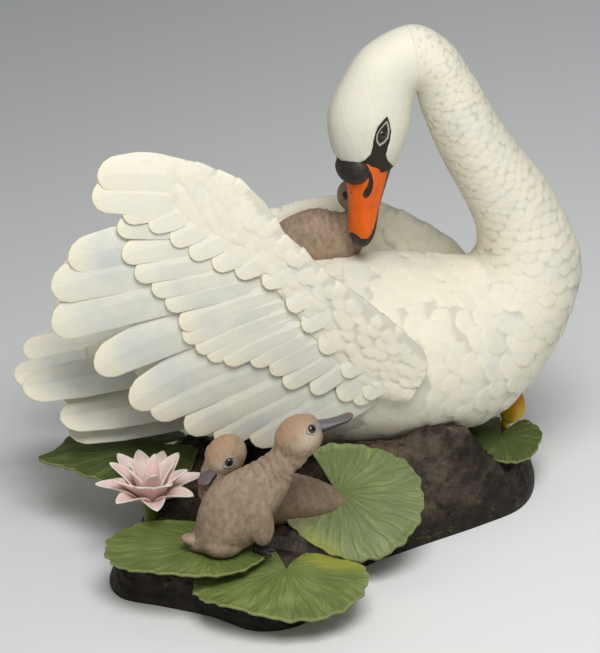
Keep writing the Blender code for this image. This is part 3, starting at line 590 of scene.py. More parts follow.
@dataclass(frozen=True)
class DarkSkin:
    """Near-black skin, softly wrinkled, as on the knob and the feet."""

    name: str
    colour: Point = (0.026, 0.019, 0.017)
    light: Point = (0.075, 0.058, 0.052)
    roughness: float = 0.50

    def build(self) -> Material:
        """Makes the finish."""
        look = Look(self.name, self.roughness)
        folds = look.grain(look.stretch(look.object_place(), (1.0, 1.0, 2.2)), 420.0, 4.0)
        return look.fire(folds.spread(0.45, 0.80).mix(self.colour, self.light), 0.08, folds, 0.6, 0.0004)


@dataclass(frozen=True)
class EyePaint:
    """A painted eye: dark pupil, brown-grey iris and a gloss over both."""

    name: str
    iris: Point = (0.045, 0.034, 0.028)
    pupil: Point = (0.006, 0.005, 0.005)
    rim: Point = (0.02, 0.015, 0.013)

    def build(self) -> Material:
        """Makes the finish. The UV map's first number runs from the middle of the eye to its rim."""
        look = Look(self.name, 0.16)
        out, _, _ = look.uv().parts()
        colour = out.spread(0.36, 0.44).mix(self.pupil, self.iris)
        look.set_plain({"Coat Weight": 0.6, "Coat Roughness": 0.08})
        return look.end(out.spread(0.80, 0.92).mix(colour, self.rim))


@dataclass(frozen=True)
class DownPaint:
    """A cygnet's down: taupe in the hollows, pale on the tufts, warm on the crown, darkened by painted shade and
    painted shadow.
    """

    name: str = "down_paint"
    taupe: Point = (0.255, 0.178, 0.117)
    pale: Point = (0.40, 0.292, 0.200)
    # also the colour of the painted shade
    dark: Point = (0.095, 0.060, 0.038)
    crown: Point = (0.42, 0.262, 0.155)
    cheek: Point = (0.60, 0.49, 0.36)
    roughness: float = 0.60

    def build(self) -> Material:
        """Makes the finish, which reads the points' values crest, crown, cheek and the painted shade."""
        look = Look(self.name, self.roughness)
        place = look.object_place()
        tufts = look.grain(look.stretch(place, (1.1, 1.1, 0.45), (0.0, 0.7, 0.0)), 330.0, 4.0, 0.6)
        strands = look.grain(look.stretch(place, (1.3, 1.3, 0.30)), 1500.0, 2.0)
        mixed = tufts * 0.55 + look.grain(place, 70.0, 3.0) * 0.45
        colour = mixed.spread(0.40, 0.62).mix(self.taupe, self.pale)
        colour = (look.painted("crest") * 0.45).mix(colour, self.pale)
        # crown and cheek are the down's own colours; the last is painted shade, which darkens the down
        for label, paint in (("crown", self.crown), ("cheek", self.cheek), ("painted_shade", self.dark)):
            colour = look.painted(label).mix(colour, paint)
        colour = strands.spread(0.60, 0.82, 0.0, 0.30).mix(colour, self.dark)
        return look.fire(colour, 0.08, tufts * 0.9 + strands * 0.35, 0.5, 0.0007)


@dataclass(frozen=True)
class CygnetBillPaint:
    """A cygnet's blue-grey bill with a dark edge and a reddish tip."""

    name: str = "cygnet_bill_paint"
    grey: Point = (0.135, 0.118, 0.122)
    dark: Point = (0.026, 0.021, 0.022)
    red: Point = (0.32, 0.09, 0.06)

    def build(self) -> Material:
        """Makes the finish. The UV map runs along the bill and round it."""
        look = Look(self.name, 0.45)
        along, around, _ = look.uv().parts()
        lip = abs((around * FULL_TURN).sine())
        colour = lip.spread(0.40, 0.12).mix(self.grey, self.dark)
        colour = around.spread(0.54, 0.60).mix(colour, self.dark)
        colour = along.spread(0.90, 0.97, 0.0, 0.85).mix(colour, self.red)
        return look.fire(colour, 0.10, None, 0.15, 0.0001)


@dataclass(frozen=True)
class PadPaint:
    """A lily pad: brushed greens, radial veins, a pale rim and, where it ages, yellow or brown."""

    name: str
    dark: Point = (0.060, 0.085, 0.018)
    middle: Point = (0.120, 0.160, 0.038)
    light: Point = (0.215, 0.265, 0.080)
    yellow: Point = (0.42, 0.42, 0.045)
    withered: Point = (0.235, 0.165, 0.110)
    rim: Point = (0.34, 0.36, 0.14)
    roughness: float = 0.47

    def build(self) -> Material:
        """Makes the finish, which reads the points' values bright, aged and brown, and the UV map."""
        look = Look(self.name, self.roughness)
        around, out, _ = look.uv().parts()
        turn = around + (look.grain(look.object_place(), 55.0, 2.0) - 0.5) * 0.045
        fan = abs((turn * (math.pi * PAD_VEINS)).sine())
        vein = fan.spread(0.20, 0.02) * out.spread(0.02, 0.25)
        rays = look.grain(look.vector(turn * 120.0, out * 3.0), 1.0, 3.0)
        comb = look.grain(look.vector(turn * 260.0, out * 5.0), 1.0, 2.0)
        tone = look.painted("bright") + (rays - 0.5) * 1.5
        colour = tone.spread(0.0, 0.5).mix(self.dark, self.middle)
        colour = tone.spread(0.5, 1.0).mix(colour, self.light)
        colour = (comb.spread(0.58, 0.74) * out.spread(0.55, 0.95, 0.0, 0.45)).mix(colour, self.rim)
        colour = (vein * 0.42).mix(colour, self.light)
        colour = look.painted("aged").mix(colour, self.yellow)
        colour = look.painted("brown").mix(colour, self.withered)
        colour = out.spread(0.970, 0.995, 0.0, 0.45).mix(colour, self.rim)
        return look.fire(colour, 0.14, rays * 0.8 + vein * 0.7, 0.55, 0.0007)


@dataclass(frozen=True)
class PetalPaint:
    """A petal: pink that pales to cream at the edges and the tip."""

    name: str
    pink: Point = (0.66, 0.385, 0.365)
    blush: Point = (0.80, 0.60, 0.565)
    edge: Point = (0.83, 0.77, 0.68)

    def build(self) -> Material:
        """Makes the finish. The UV map runs along the petal and across it."""
        look = Look(self.name, 0.45)
        along, across, _ = look.uv().parts()
        side = abs(across - 0.5) * 2.0
        streaks = look.grain(look.vector(across * 26.0, along * 2.0), 1.0, 2.0)
        colour = along.spread(0.05, 0.75).mix(self.pink, self.blush)
        colour = streaks.spread(0.45, 0.75, 0.0, 0.35).mix(colour, self.edge)
        colour = side.spread(0.62, 0.98, 0.0, 0.85).mix(colour, self.edge)
        colour = along.spread(0.84, 1.0, 0.0, 0.8).mix(colour, self.edge)
        look.set_plain({"Subsurface Weight": 0.12, "Subsurface Scale": 0.002})
        return look.fire(colour, 0.05, streaks, 0.35, 0.0003)


@dataclass(frozen=True)
class StamenPaint:
    """Orange stamens, lighter at their ends."""

    name: str = "stamen_paint"
    low: Point = (0.62, 0.21, 0.02)
    high: Point = (0.86, 0.44, 0.08)

    def build(self) -> Material:
        """Makes the finish. The UV map's first number runs along each stamen."""
        look = Look(self.name, 0.5)
        along, _, _ = look.uv().parts()
        return look.fire(along.spread(0.2, 0.9).mix(self.low, self.high), 0.2, None, 0.2, 0.0002)


@dataclass(frozen=True)
class BudPaint:
    """A gold-ochre bud with an orange tip and green at its foot."""

    name: str = "bud_paint"
    gold: Point = (0.72, 0.46, 0.02)
    tip: Point = (0.66, 0.20, 0.015)
    green: Point = (0.12, 0.16, 0.02)

    def build(self) -> Material:
        """Makes the finish. The UV map's first number runs from foot to tip."""
        look = Look(self.name, 0.42)
        along, around, _ = look.uv().parts()
        streaks = look.grain(look.vector(around * 40.0, along * 3.0), 1.0, 2.0)
        colour = along.spread(0.62, 0.98, 0.0, 0.8).mix(self.gold, self.tip)
        colour = along.spread(0.40, 0.12).mix(colour, self.green)
        colour = streaks.spread(0.55, 0.8, 0.0, 0.3).mix(colour, self.tip)
        return look.fire(colour, 0.06, streaks, 0.3, 0.0003)


@dataclass(frozen=True)
class EarthPaint:
    """Dark earth and bark: mauve-brown on top, near black in the hollows, flecked with moss."""

    name: str = "earth_paint"
    dark: Point = (0.008, 0.005, 0.0025)
    brown: Point = (0.022, 0.0145, 0.0075)
    mauve: Point = (0.120, 0.084, 0.058)
    moss: Point = (0.135, 0.150, 0.030)
    roughness: float = 0.62

    def build(self) -> Material:
        """Makes the finish, which reads the points' values crown, mossy and bark."""
        look = Look(self.name, self.roughness)
        place = look.object_place()
        clods = look.grain(place, 130.0, 5.0, 0.62)
        flecks = look.grain(look.stretch(place, (0.5, 0.5, 1.6)), 520.0, 3.0)
        colour = clods.spread(0.38, 0.64).mix(self.dark, self.brown)
        colour = (look.painted("crown") * clods.spread(0.25, 0.60)).mix(colour, self.mauve)
        colour = (flecks.spread(0.56, 0.70) * look.painted("mossy")).mix(colour, self.moss)
        return look.fire(colour, 0.12, clods + flecks * look.painted("bark"), 0.7, 0.0016)


@dataclass(frozen=True)
class PaperSweep:
    """The grey paper that the group stands on: it pales to the right, its left side darkened as painted shade,
    and it is painted paler towards the back, as painted light where the lamp is weaker.
    """

    name: str = "paper_sweep"
    near: Point = (0.90, 0.91, 0.895)
    far: Point = (0.93, 0.945, 0.95)
    # painted shade on the left side
    left_shade: Point = (0.78, 0.78, 0.78)  # what its left side is darkened to
    near_y: float = -0.42
    far_y: float = 1.10

    def build(self) -> Material:
        """Makes the finish."""
        look = Look(self.name, 0.9)
        aside, depth, _ = look.object_place().parts()
        # painted light: the paper is paler towards the back, where the lamp lights it less
        colour = depth.spread(self.near_y, self.far_y, curve="LINEAR").mix(self.near, self.far)
        # painted shade: the left side is darkened
        painted_shade = aside.spread(-0.45, 0.45).mix(self.left_shade, (1.0, 1.0, 1.0))
        fibre = look.grain(look.object_place(), 900.0, 2.0).spread(0.3, 0.7, 0.0, 0.03)
        look.set_plain({"Specular IOR Level": 0.0})
        return look.end(fibre.mix(look.mix(1.0, colour, painted_shade, "MULTIPLY"), self.far))


class Slot(Enum):
    """The record's material slots."""

    BISQUE = "bisque_white"
    EARTH = "earth_brown"
    DOWN = "cygnet_down"
    PAD = "pad_green"
    PETAL = "petal_pink"
    STAMEN = "stamen_orange"
    BUD = "bud_yellow"


# Meshes


def put(name: str, mesh: Mesh, finish: Material, slot: Slot, *replaced: str) -> None:
    """Puts a finished mesh on the figurine.

    Args:
        name: the piece's name.
        mesh: its mesh, in place.
        finish: its material.
        slot: the record's slot that the finish belongs to; not used.
        replaced: the nodes that it stands for.
    """
    piece = bpy.data.objects.new(f"{name}_finish" if name in replaced else name, mesh)
    bpy.context.scene.collection.objects.link(piece)
    mesh.materials.clear()
    mesh.materials.append(finish)
    mesh.shade_smooth()
    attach(piece, BODY)
    if replaced:
        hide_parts(*replaced)
    LOG.info("%s: %d faces", name, len(mesh.polygons))


def to_mesh(bm: BMesh, name: str) -> Mesh:
    """Ends a bmesh: faces turned outwards and written to a new mesh."""
    bmesh.ops.recalc_face_normals(bm, faces=bm.faces)
    mesh = bpy.data.meshes.new(name)
    bm.to_mesh(mesh)
    bm.free()
    return mesh


def lay_uv(bm: BMesh, spots: Array) -> None:
    """Gives each face corner its point's spot as UV."""
    layer = bm.loops.layers.uv.new("laid")
    for face in bm.faces:
        for loop in face.loops:
            loop[layer].uv = spots[loop.vert.index]


def close_up(bm: BMesh) -> None:
    """Merges points that coincide and fills the holes that are left."""
    bmesh.ops.remove_doubles(bm, verts=bm.verts, dist=WELD)
    bmesh.ops.holes_fill(bm, edges=[edge for edge in bm.edges if edge.is_boundary], sides=0)


def grid(columns: int, rows: int) -> tuple[BMesh, Array]:
    """A new grid, and the two numbers from 0 to 1 of each of its points."""
    bm = bmesh.new()
    bmesh.ops.create_grid(bm, x_segments=columns, y_segments=rows, size=1.0)
    bm.verts.ensure_lookup_table()
    return bm, np.array([vert.co[:2] for vert in bm.verts]) / 2 + 0.5


def carry(bm: BMesh, places: Array, paints: dict[str, Array]) -> None:
    """Puts the points at these places and stores the values that they carry."""
    layers = {label: bm.verts.layers.float.new(label) for label in paints}
    for index, vert in enumerate(bm.verts):
        vert.co = places[index]
        for label, layer in layers.items():
            vert[layer] = paints[label][index]


def thicken(bm: BMesh, faces: Sequence[bmesh.types.BMFace], way: Point) -> None:
    """Gives a sheet an underside, which lies this way from it."""
    under = bmesh.ops.extrude_face_region(bm, geom=faces, use_keep_orig=True)["geom"]
    below = [item for item in under if isinstance(item, bmesh.types.BMVert)]
    bmesh.ops.translate(bm, verts=below, vec=way)


def skin_mesh(name: str, columns: int, rows: int, shape: Shape) -> Mesh:
    """A closed skin: a grid whose points are placed by a formula.

    Args:
        name: the mesh's name.
        columns: grid cells along the first number.
        rows: grid cells along the second.
        shape: the formula.

    Returns:
        The mesh, with its UV map.
    """
    bm, spots = grid(columns, rows)
    lay_uv(bm, spots)
    carry(bm, *shape(spots[:, 0], spots[:, 1]))
    close_up(bm)
    return to_mesh(bm, name)


def points_of(mesh: Mesh) -> Array:
    """The mesh's points as rows."""
    places = np.empty(len(mesh.vertices) * 3)
    mesh.vertices.foreach_get("co", places)
    return places.reshape(-1, 3)


def move_points(mesh: Mesh, places: Array) -> None:
    """Puts the mesh's points at these places."""
    mesh.vertices.foreach_set("co", places.reshape(-1))
    mesh.update()


def paint_points(mesh: Mesh, label: str, values: Array) -> None:
    """Stores one value for each point of the mesh."""
    layer = mesh.attributes.new(label, "FLOAT", "POINT")
    layer.data.foreach_set("value", np.asarray(values, np.float32))


def normals_of(mesh: Mesh) -> Array:
    """The outward way at each point of the mesh."""
    ways = np.empty(len(mesh.vertices) * 3)
    mesh.vertices.foreach_get("normal", ways)
    return ways.reshape(-1, 3)


def blended(name: str, makers: Sequence[Callable[[BMesh], None]], voxel: float, rounds: int) -> Mesh:
    """Closed forms melted into one skin.

    Args:
        name: the mesh's name.
        makers: each adds one closed form to a bmesh.
        voxel: the size of the skin's cells.
        rounds: how often the joints are smoothed.

    Returns:
        One closed mesh.
    """
    bm = bmesh.new()
    for maker in makers:
        maker(bm)
    rough = bpy.data.objects.new(name, to_mesh(bm, name))
    bpy.context.scene.collection.objects.link(rough)
    melt = rough.modifiers.new("melt", "REMESH")
    melt.mode = "VOXEL"
    melt.voxel_size = voxel
    soften = rough.modifiers.new("soften", "SMOOTH")
    soften.factor = 0.5
    soften.iterations = rounds
    graph = bpy.context.evaluated_depsgraph_get()
    mesh = bpy.data.meshes.new_from_object(rough.evaluated_get(graph))
    bpy.data.objects.remove(rough)
    return mesh


def add_ball(bm: BMesh, middle: Point, sizes: Point, turn: Matrix, segments: int = 32) -> None:
    """Adds an egg with these half sizes, turned about its middle."""
    seat = Matrix.Translation(Vector(middle)) @ turn.to_4x4() @ Matrix.Diagonal((*sizes, 1.0))
    bmesh.ops.create_uvsphere(bm, u_segments=segments, v_segments=segments // 2, radius=1.0, matrix=seat)


def add_tube(bm: BMesh, points: Array, radii: Array, around: int = 12, ways: int = 0) -> None:
    """Adds a round tube through points, with a radius at each.

    Args:
        bm: what it is added to.
        points: rows of places.
        radii: one radius for each.
        around: its sides.
        ways: how many more points a smooth line puts between two.
    """
    if ways:
        share = np.linspace(0, 1, (len(points) - 1) * ways + 1)
        line = SmoothLine(np.column_stack([points, radii])).share(share)
        points, radii = line[:, :3], line[:, 3]
    first = len(bm.verts)
    made = bmesh.ops.create_grid(bm, x_segments=len(points) - 1, y_segments=around, size=1.0)["verts"]
    heading = unit(np.gradient(points, axis=0))
    side = unit(np.cross(heading, np.array((0.12, 0.31, 0.94))))
    top = np.cross(heading, side)
    for vert in made:
        k = int(round((vert.co.x / 2 + 0.5) * (len(points) - 1)))
        angle = math.pi * (vert.co.y + 1)
        away = side[k] * math.cos(angle) + top[k] * math.sin(angle)
        vert.co = points[k] + away * radii[k]
    bm.verts.ensure_lookup_table()
    bmesh.ops.remove_doubles(bm, verts=bm.verts[first:], dist=WELD)
    bmesh.ops.holes_fill(bm, edges=[edge for edge in bm.edges if edge.is_boundary], sides=0)


# Feathers


def spaced_round(
    rng: np.random.Generator, ring: Array, turn: Array, gap: float, jitter: float, least: int, odd: bool
) -> Array:
    """Places spread evenly round a ring, each moved a little.

    Args:
        rng: gives the small moves.
        ring: points on the ring, in order.
        turn: the value that each of them has.
        gap: the distance from place to place that is aimed at.
        jitter: the largest move, as a share of that distance.
        least: the fewest places.
        odd: whether they begin half a distance on.

    Returns:
        The value at each place.
    """
    run = np.concatenate([[0], np.cumsum(np.linalg.norm(np.diff(ring, axis=0), axis=1))])
    count = max(int(round(run[-1] / gap)), least)
    shares = (np.arange(count) + 0.5 * odd + rng.uniform(-jitter, jitter, count)) / count
    return np.interp(np.mod(shares, 1.0) * run[-1], run, turn)


def twisted(ways: Array, outward: Array, turn: Array) -> tuple[Array, Array]:
    """Ways along a skin, each turned on it by an angle, and the ways across them."""
    sides = np.cross(outward, ways)
    c, s = np.cos(turn)[:, None], np.sin(turn)[:, None]
    return ways * c + sides * s, sides * c - ways * s


@dataclass
class Scallops:
    """Short round-ended feathers that lie as low relief on a skin, all in metres."""

    roots: Array
    ways: Array  # towards each tip
    sides: Array
    lengths: Array
    halves: Array
    lifts: Array
    tones: Array

    def raise_on(self, mesh: Mesh, soft: float) -> None:
        """Raises a fine skin into feathers and stores where each point lies on its feather.

        Args:
            mesh: the skin.
            soft: how wide a feather's rounded edge is.
        """
        spots, outward = points_of(mesh), normals_of(mesh)
        tree = kdtree.KDTree(len(spots))
        for index, spot in enumerate(spots):
            tree.insert(spot, index)
        tree.balance()
        height, across = np.zeros((2, len(spots)))
        along, tone = np.full((2, len(spots)), 0.5)
        share = np.full(len(spots), 0.6)
        for k, root in enumerate(self.roots):
            length, half = self.lengths[k], self.halves[k]
            middle = root + self.ways[k] * length * 0.5
            found = tree.find_range(middle, math.hypot(length * 0.55, half) * 1.05)
            if not found:
                continue
            near = np.array([item[1] for item in found])
            away = spots[near] - root
            a, b = away @ self.ways[k] / length, away @ self.sides[k] / half
            end = 1 - 0.46 * (half / length) * 2 * (1 - np.sqrt(np.maximum(1 - np.minimum(b * b, 1), 0)))
            edge = np.minimum((end - a) * length, (1 - np.abs(b)) * half * 0.9)
            level = smooth_step(-0.05, 1.0, a) * (1 + 0.18 * (1 - b * b)) * smooth_step(0.0, soft, edge)
            rise = self.lifts[k] * level
            wins = (rise > height[near]) & (a > -0.05)
            chosen = near[wins]
            height[chosen], along[chosen], across[chosen] = rise[wins], a[wins], b[wins]
            tone[chosen] = self.tones[k]
            share[chosen] = level[wins]
        move_points(mesh, spots + outward * height[:, None])
        for label, values in (("along", along), ("across", across), ("tone", tone), ("level", share)):
            paint_points(mesh, label, values)


class FeatherMould:
    """One feather's mesh. Its points hold (along, across, layer): along runs 0 to 1, across -1 to 1."""

    def __init__(self, name: str, along: Sequence[float], across: Sequence[float]) -> None:
        """Makes the mould, a slab.

        Args:
            name: the mesh's name.
            along: where its rows lie, root to tip.
            across: where its columns lie.
        """
        cells = (len(along) - 1, len(across) - 1)
        bm, spots = grid(*cells)
        for vert, (column, row) in zip(bm.verts, np.rint(spots * cells).astype(int)):
            vert.co = (along[column], across[row], 1.0)
        lay_uv(bm, np.array([(vert.co.x, vert.co.y / 2 + 0.5) for vert in bm.verts]))
        thicken(bm, bm.faces[:], (0.0, 0.0, -2.0))
        self.mesh = to_mesh(bm, name)
        self.points = points_of(self.mesh)
        self.along, self.across, self.layer = self.points.T

    def lay(self, name: str, places: Array, paints: dict[str, Array]) -> Mesh:
        """One mesh of many feathers.

        Args:
            name: the mesh's name.
            places: for each feather, the places of the mould's points.
            paints: for each feather, one value, or one for each point.

        Returns:
            The mesh.
        """
        bm = bmesh.new()
        for _ in range(len(places)):
            bm.from_mesh(self.mesh)
        for vert, place in zip(bm.verts, places.reshape(-1, 3)):
            vert.co = place
        mesh = to_mesh(bm, name)
        for label, values in paints.items():
            rows = np.asarray(values, float).reshape(len(places), -1)
            paint_points(mesh, label, np.broadcast_to(rows, places.shape[:2]).reshape(-1))
        return mesh


LONG_MOULD = FeatherMould(
    "long_mould",
    along=(0.0, 0.12, 0.25, 0.38, 0.5, 0.61, 0.71, 0.8, 0.87, 0.925, 0.965, 0.99, 1.0),
    across=(-1.0, -0.95, -0.72, -0.38, -0.08, 0.0, 0.08, 0.38, 0.72, 0.95, 1.0),
)


@dataclass
class Stand:
    """A bird's own frame and how it stands in the figurine's: turned about Z, then moved."""

    yaw: float = math.radians(12.0)
    middle: Point = (0.0, 0.062)

    def world(self, forward: Array, side: Array, up: Array) -> Array:
        """Points of the own frame, all in metres, in the figurine's."""
        c, s = math.cos(self.yaw), math.sin(self.yaw)
        x = forward * c - side * s + self.middle[0]
        y = forward * s + side * c + self.middle[1]
        return np.stack(np.broadcast_arrays(x, y, up), axis=-1)


SWAN = Stand()


class Loft:
    """A skin through stations: inner point, outer point (both along, up) and half width, in millimetres."""

    def __init__(self, stations: Sequence[Point], world: Callable[[Array, Array, Array], Array]) -> None:
        """Keeps the stations.

        Args:
            stations: rows of inner along, inner up, outer along, outer up, half width.
            world: carries along, side and up to the world.
        """
        self.line = SmoothLine(np.asarray(stations, float) * MM)
        self.world = world
        self.last = self.line.last

    def spot(self, place: Array, angle: Array) -> Array:
        """Points of the skin. Angle 0 is the inner line, half a turn the outer one."""
        row = self.line.at(np.ravel(place))
        angle = np.ravel(angle)
        middle, reach = (row[:, :2] + row[:, 2:4]) / 2, (row[:, :2] - row[:, 2:4]) / 2
        along, up = (middle + reach * np.cos(angle)[:, None]).T
        return self.world(along, row[:, 4] * np.sin(angle), up)

    def ways(self, place: Array, angle: Array) -> tuple[Array, Array, Array]:
        """How the skin runs: change along, change around, and the outward way."""
        step = 0.01
        along = (self.spot(place + step, angle) - self.spot(place - step, angle)) / (2 * step)
        around = (self.spot(place, angle + step) - self.spot(place, angle - step)) / (2 * step)
        outward = unit(np.cross(around, along))
        row = self.line.at(np.ravel(place))
        middle = (row[:, :2] + row[:, 2:4]) / 2
        core = self.world(middle[:, 0], np.zeros(len(middle)), middle[:, 1])
        facing = np.sum(outward * (self.spot(place, angle) - core), axis=1)
        return along, around, outward * np.where(facing < 0, -1, 1)[:, None]


@dataclass
class SwanBody:
    """Body, neck and head: the skin, and the contour feathers that lie on it."""

    stations: Sequence[Point] = (
        (-148, 112, -148, 106, 10),
        (-127, 119, -128, 99, 20),
        (-87, 134, -89, 69, 47),
        (-47, 150, -49, 48, 62),
        (-8, 158, -8, 38.5, 69),
        (32, 160, 39, 35.5, 71),
        (73, 157, 82.5, 39, 67),
        (98, 154, 115, 43, 59),
        (110, 154, 141, 61.5, 51),
        (114, 160, 164.5, 93, 45),
        (114, 168, 179.5, 127.5, 38.5),
        (110, 182, 182, 154, 34),
        (103, 197, 174, 176, 30),
        (92, 217, 159, 205, 27),
        (81, 239, 139, 230, 24.5),
        (73, 259, 120, 257, 22.5),
        (69, 272, 104, 284, 20.5),
        (67.5, 275.5, 87, 307, 19.5),
        (66.5, 275.5, 64, 317.5, 18.5),
        (65.5, 272, 35, 305, 19.5),
        (64.5, 264, 18, 281, 21.5),
        (63.5, 253, 11, 260, 22.5),
        (60, 240, 13, 240, 21),
        (54, 226, 19, 226, 17),
    )
    head_from: float = 17.6  # the station where the finely meshed head begins
    plumes_end: float = 19.3  # the station where the contour feathers end
    # Length in millimetres of a contour feather at a station
    feather_lengths: Sequence[Point] = (
        (0, 18), (4, 19), (7, 18), (8.5, 17), (10, 14.5), (11.5, 11), (13, 8.6),
        (15, 6.8), (17, 5.4), (20, 4.4),
    )
    # How far a contour feather's tip stands up at a station, in millimetres
    feather_lifts: Sequence[Point] = (
        (0, 0.9), (5, 0.85), (8, 1.0), (10, 0.9), (12, 0.62), (14, 0.42), (16, 0.27), (18, 0.18), (20, 0.12),
    )
    # Name, first and last station, and cells along and around
    parts: Sequence[tuple[str, float, float, int, int]] = (
        ("swan_body", 0.0, 9.0, 270, 350),
        ("swan_neck", 8.97, 18.1, 330, 200),
    )
    skin: Loft = field(init=False)

    def __post_init__(self) -> None:
        """Makes the loft."""
        self.skin = Loft(self.stations, SWAN.world)

    def _candidates(self, rng: np.random.Generator) -> Array:
        """Where feathers could be rooted: rows of (station, angle, length), tail first."""
        rows, place, odd = [], 0.25, False
        turn = np.linspace(0, FULL_TURN, 97)
        stations, lengths = np.array(self.feather_lengths, float).T
        while place < self.plumes_end:
            length = float(np.interp(place, stations, lengths)) * MM
            here = np.full(len(turn), place)
            angles = spaced_round(rng, self.skin.spot(here, turn), turn, 0.80 * length, 0.16, 5, odd)
            rows += [(place + rng.uniform(-0.03, 0.03), angle, length) for angle in angles]
            place += 0.52 * length / np.linalg.norm(self.skin.ways(here, turn)[0], axis=1).max()
            odd = not odd
        return np.array(rows)

    def scallops(self) -> Scallops:
        """Rows of contour feathers like tiles, tips to the tail, and the few large ones of the breast."""
        rng = np.random.default_rng(7)
        found = self._candidates(rng)
        roots = self.skin.spot(found[:, 0], found[:, 1])
        kept: list[int] = []
        for k in range(len(found)):
            near = roots[kept[-400:]] if kept else np.empty((0, 3))
            if len(near) and np.linalg.norm(near - roots[k], axis=1).min() < 0.56 * found[k, 2]:
                continue
            kept.append(k)
        place, angle, length = found[kept].T
        along, _, outward = self.skin.ways(place, angle)
        ways, sides = twisted(-unit(along), outward, rng.uniform(-0.16, 0.16, len(place)))
        length = length * rng.uniform(0.85, 1.2, len(place))
        lifts = np.interp(place, *np.array(self.feather_lifts, float).T) * MM
        lifts = lifts * rng.uniform(0.75, 1.2, len(place))
        halves, tones = length * rng.uniform(0.52, 0.62, len(place)), rng.uniform(0, 1, len(place))
        middles = roots[kept] - ways * length[:, None] * 0.35
        return Scallops(middles, ways, sides, length * 1.25, halves, lifts, tones)

    def build(self, finish: Material) -> None:
        """The skin from the tail to where the head begins, in two pieces, with its feathers raised on it."""
        feathers = self.scallops()
        for name, begin, end, *cells in self.parts:

            def shape(u: Array, v: Array) -> Placed:
                return self.skin.spot(begin + u * (end - begin), v * FULL_TURN), {}

            mesh = skin_mesh(name, *cells, shape)
            spots = points_of(mesh)
            soft_lumps = bumpiness(spots, 24 * MM, 11.0, 2) * 0.7 + bumpiness(spots, 9 * MM, 3.0, 2) * 0.18
            fade = np.interp(spots[:, 2], (0.06, 0.20, 0.28), (1.0, 0.7, 0.3))
            move_points(mesh, spots + normals_of(mesh) * (soft_lumps * fade * MM)[:, None])
            feathers.raise_on(mesh, 1.1 * MM)
            put(name, mesh, finish, Slot.BISQUE, *(("swan",) if begin == 0.0 else ()))


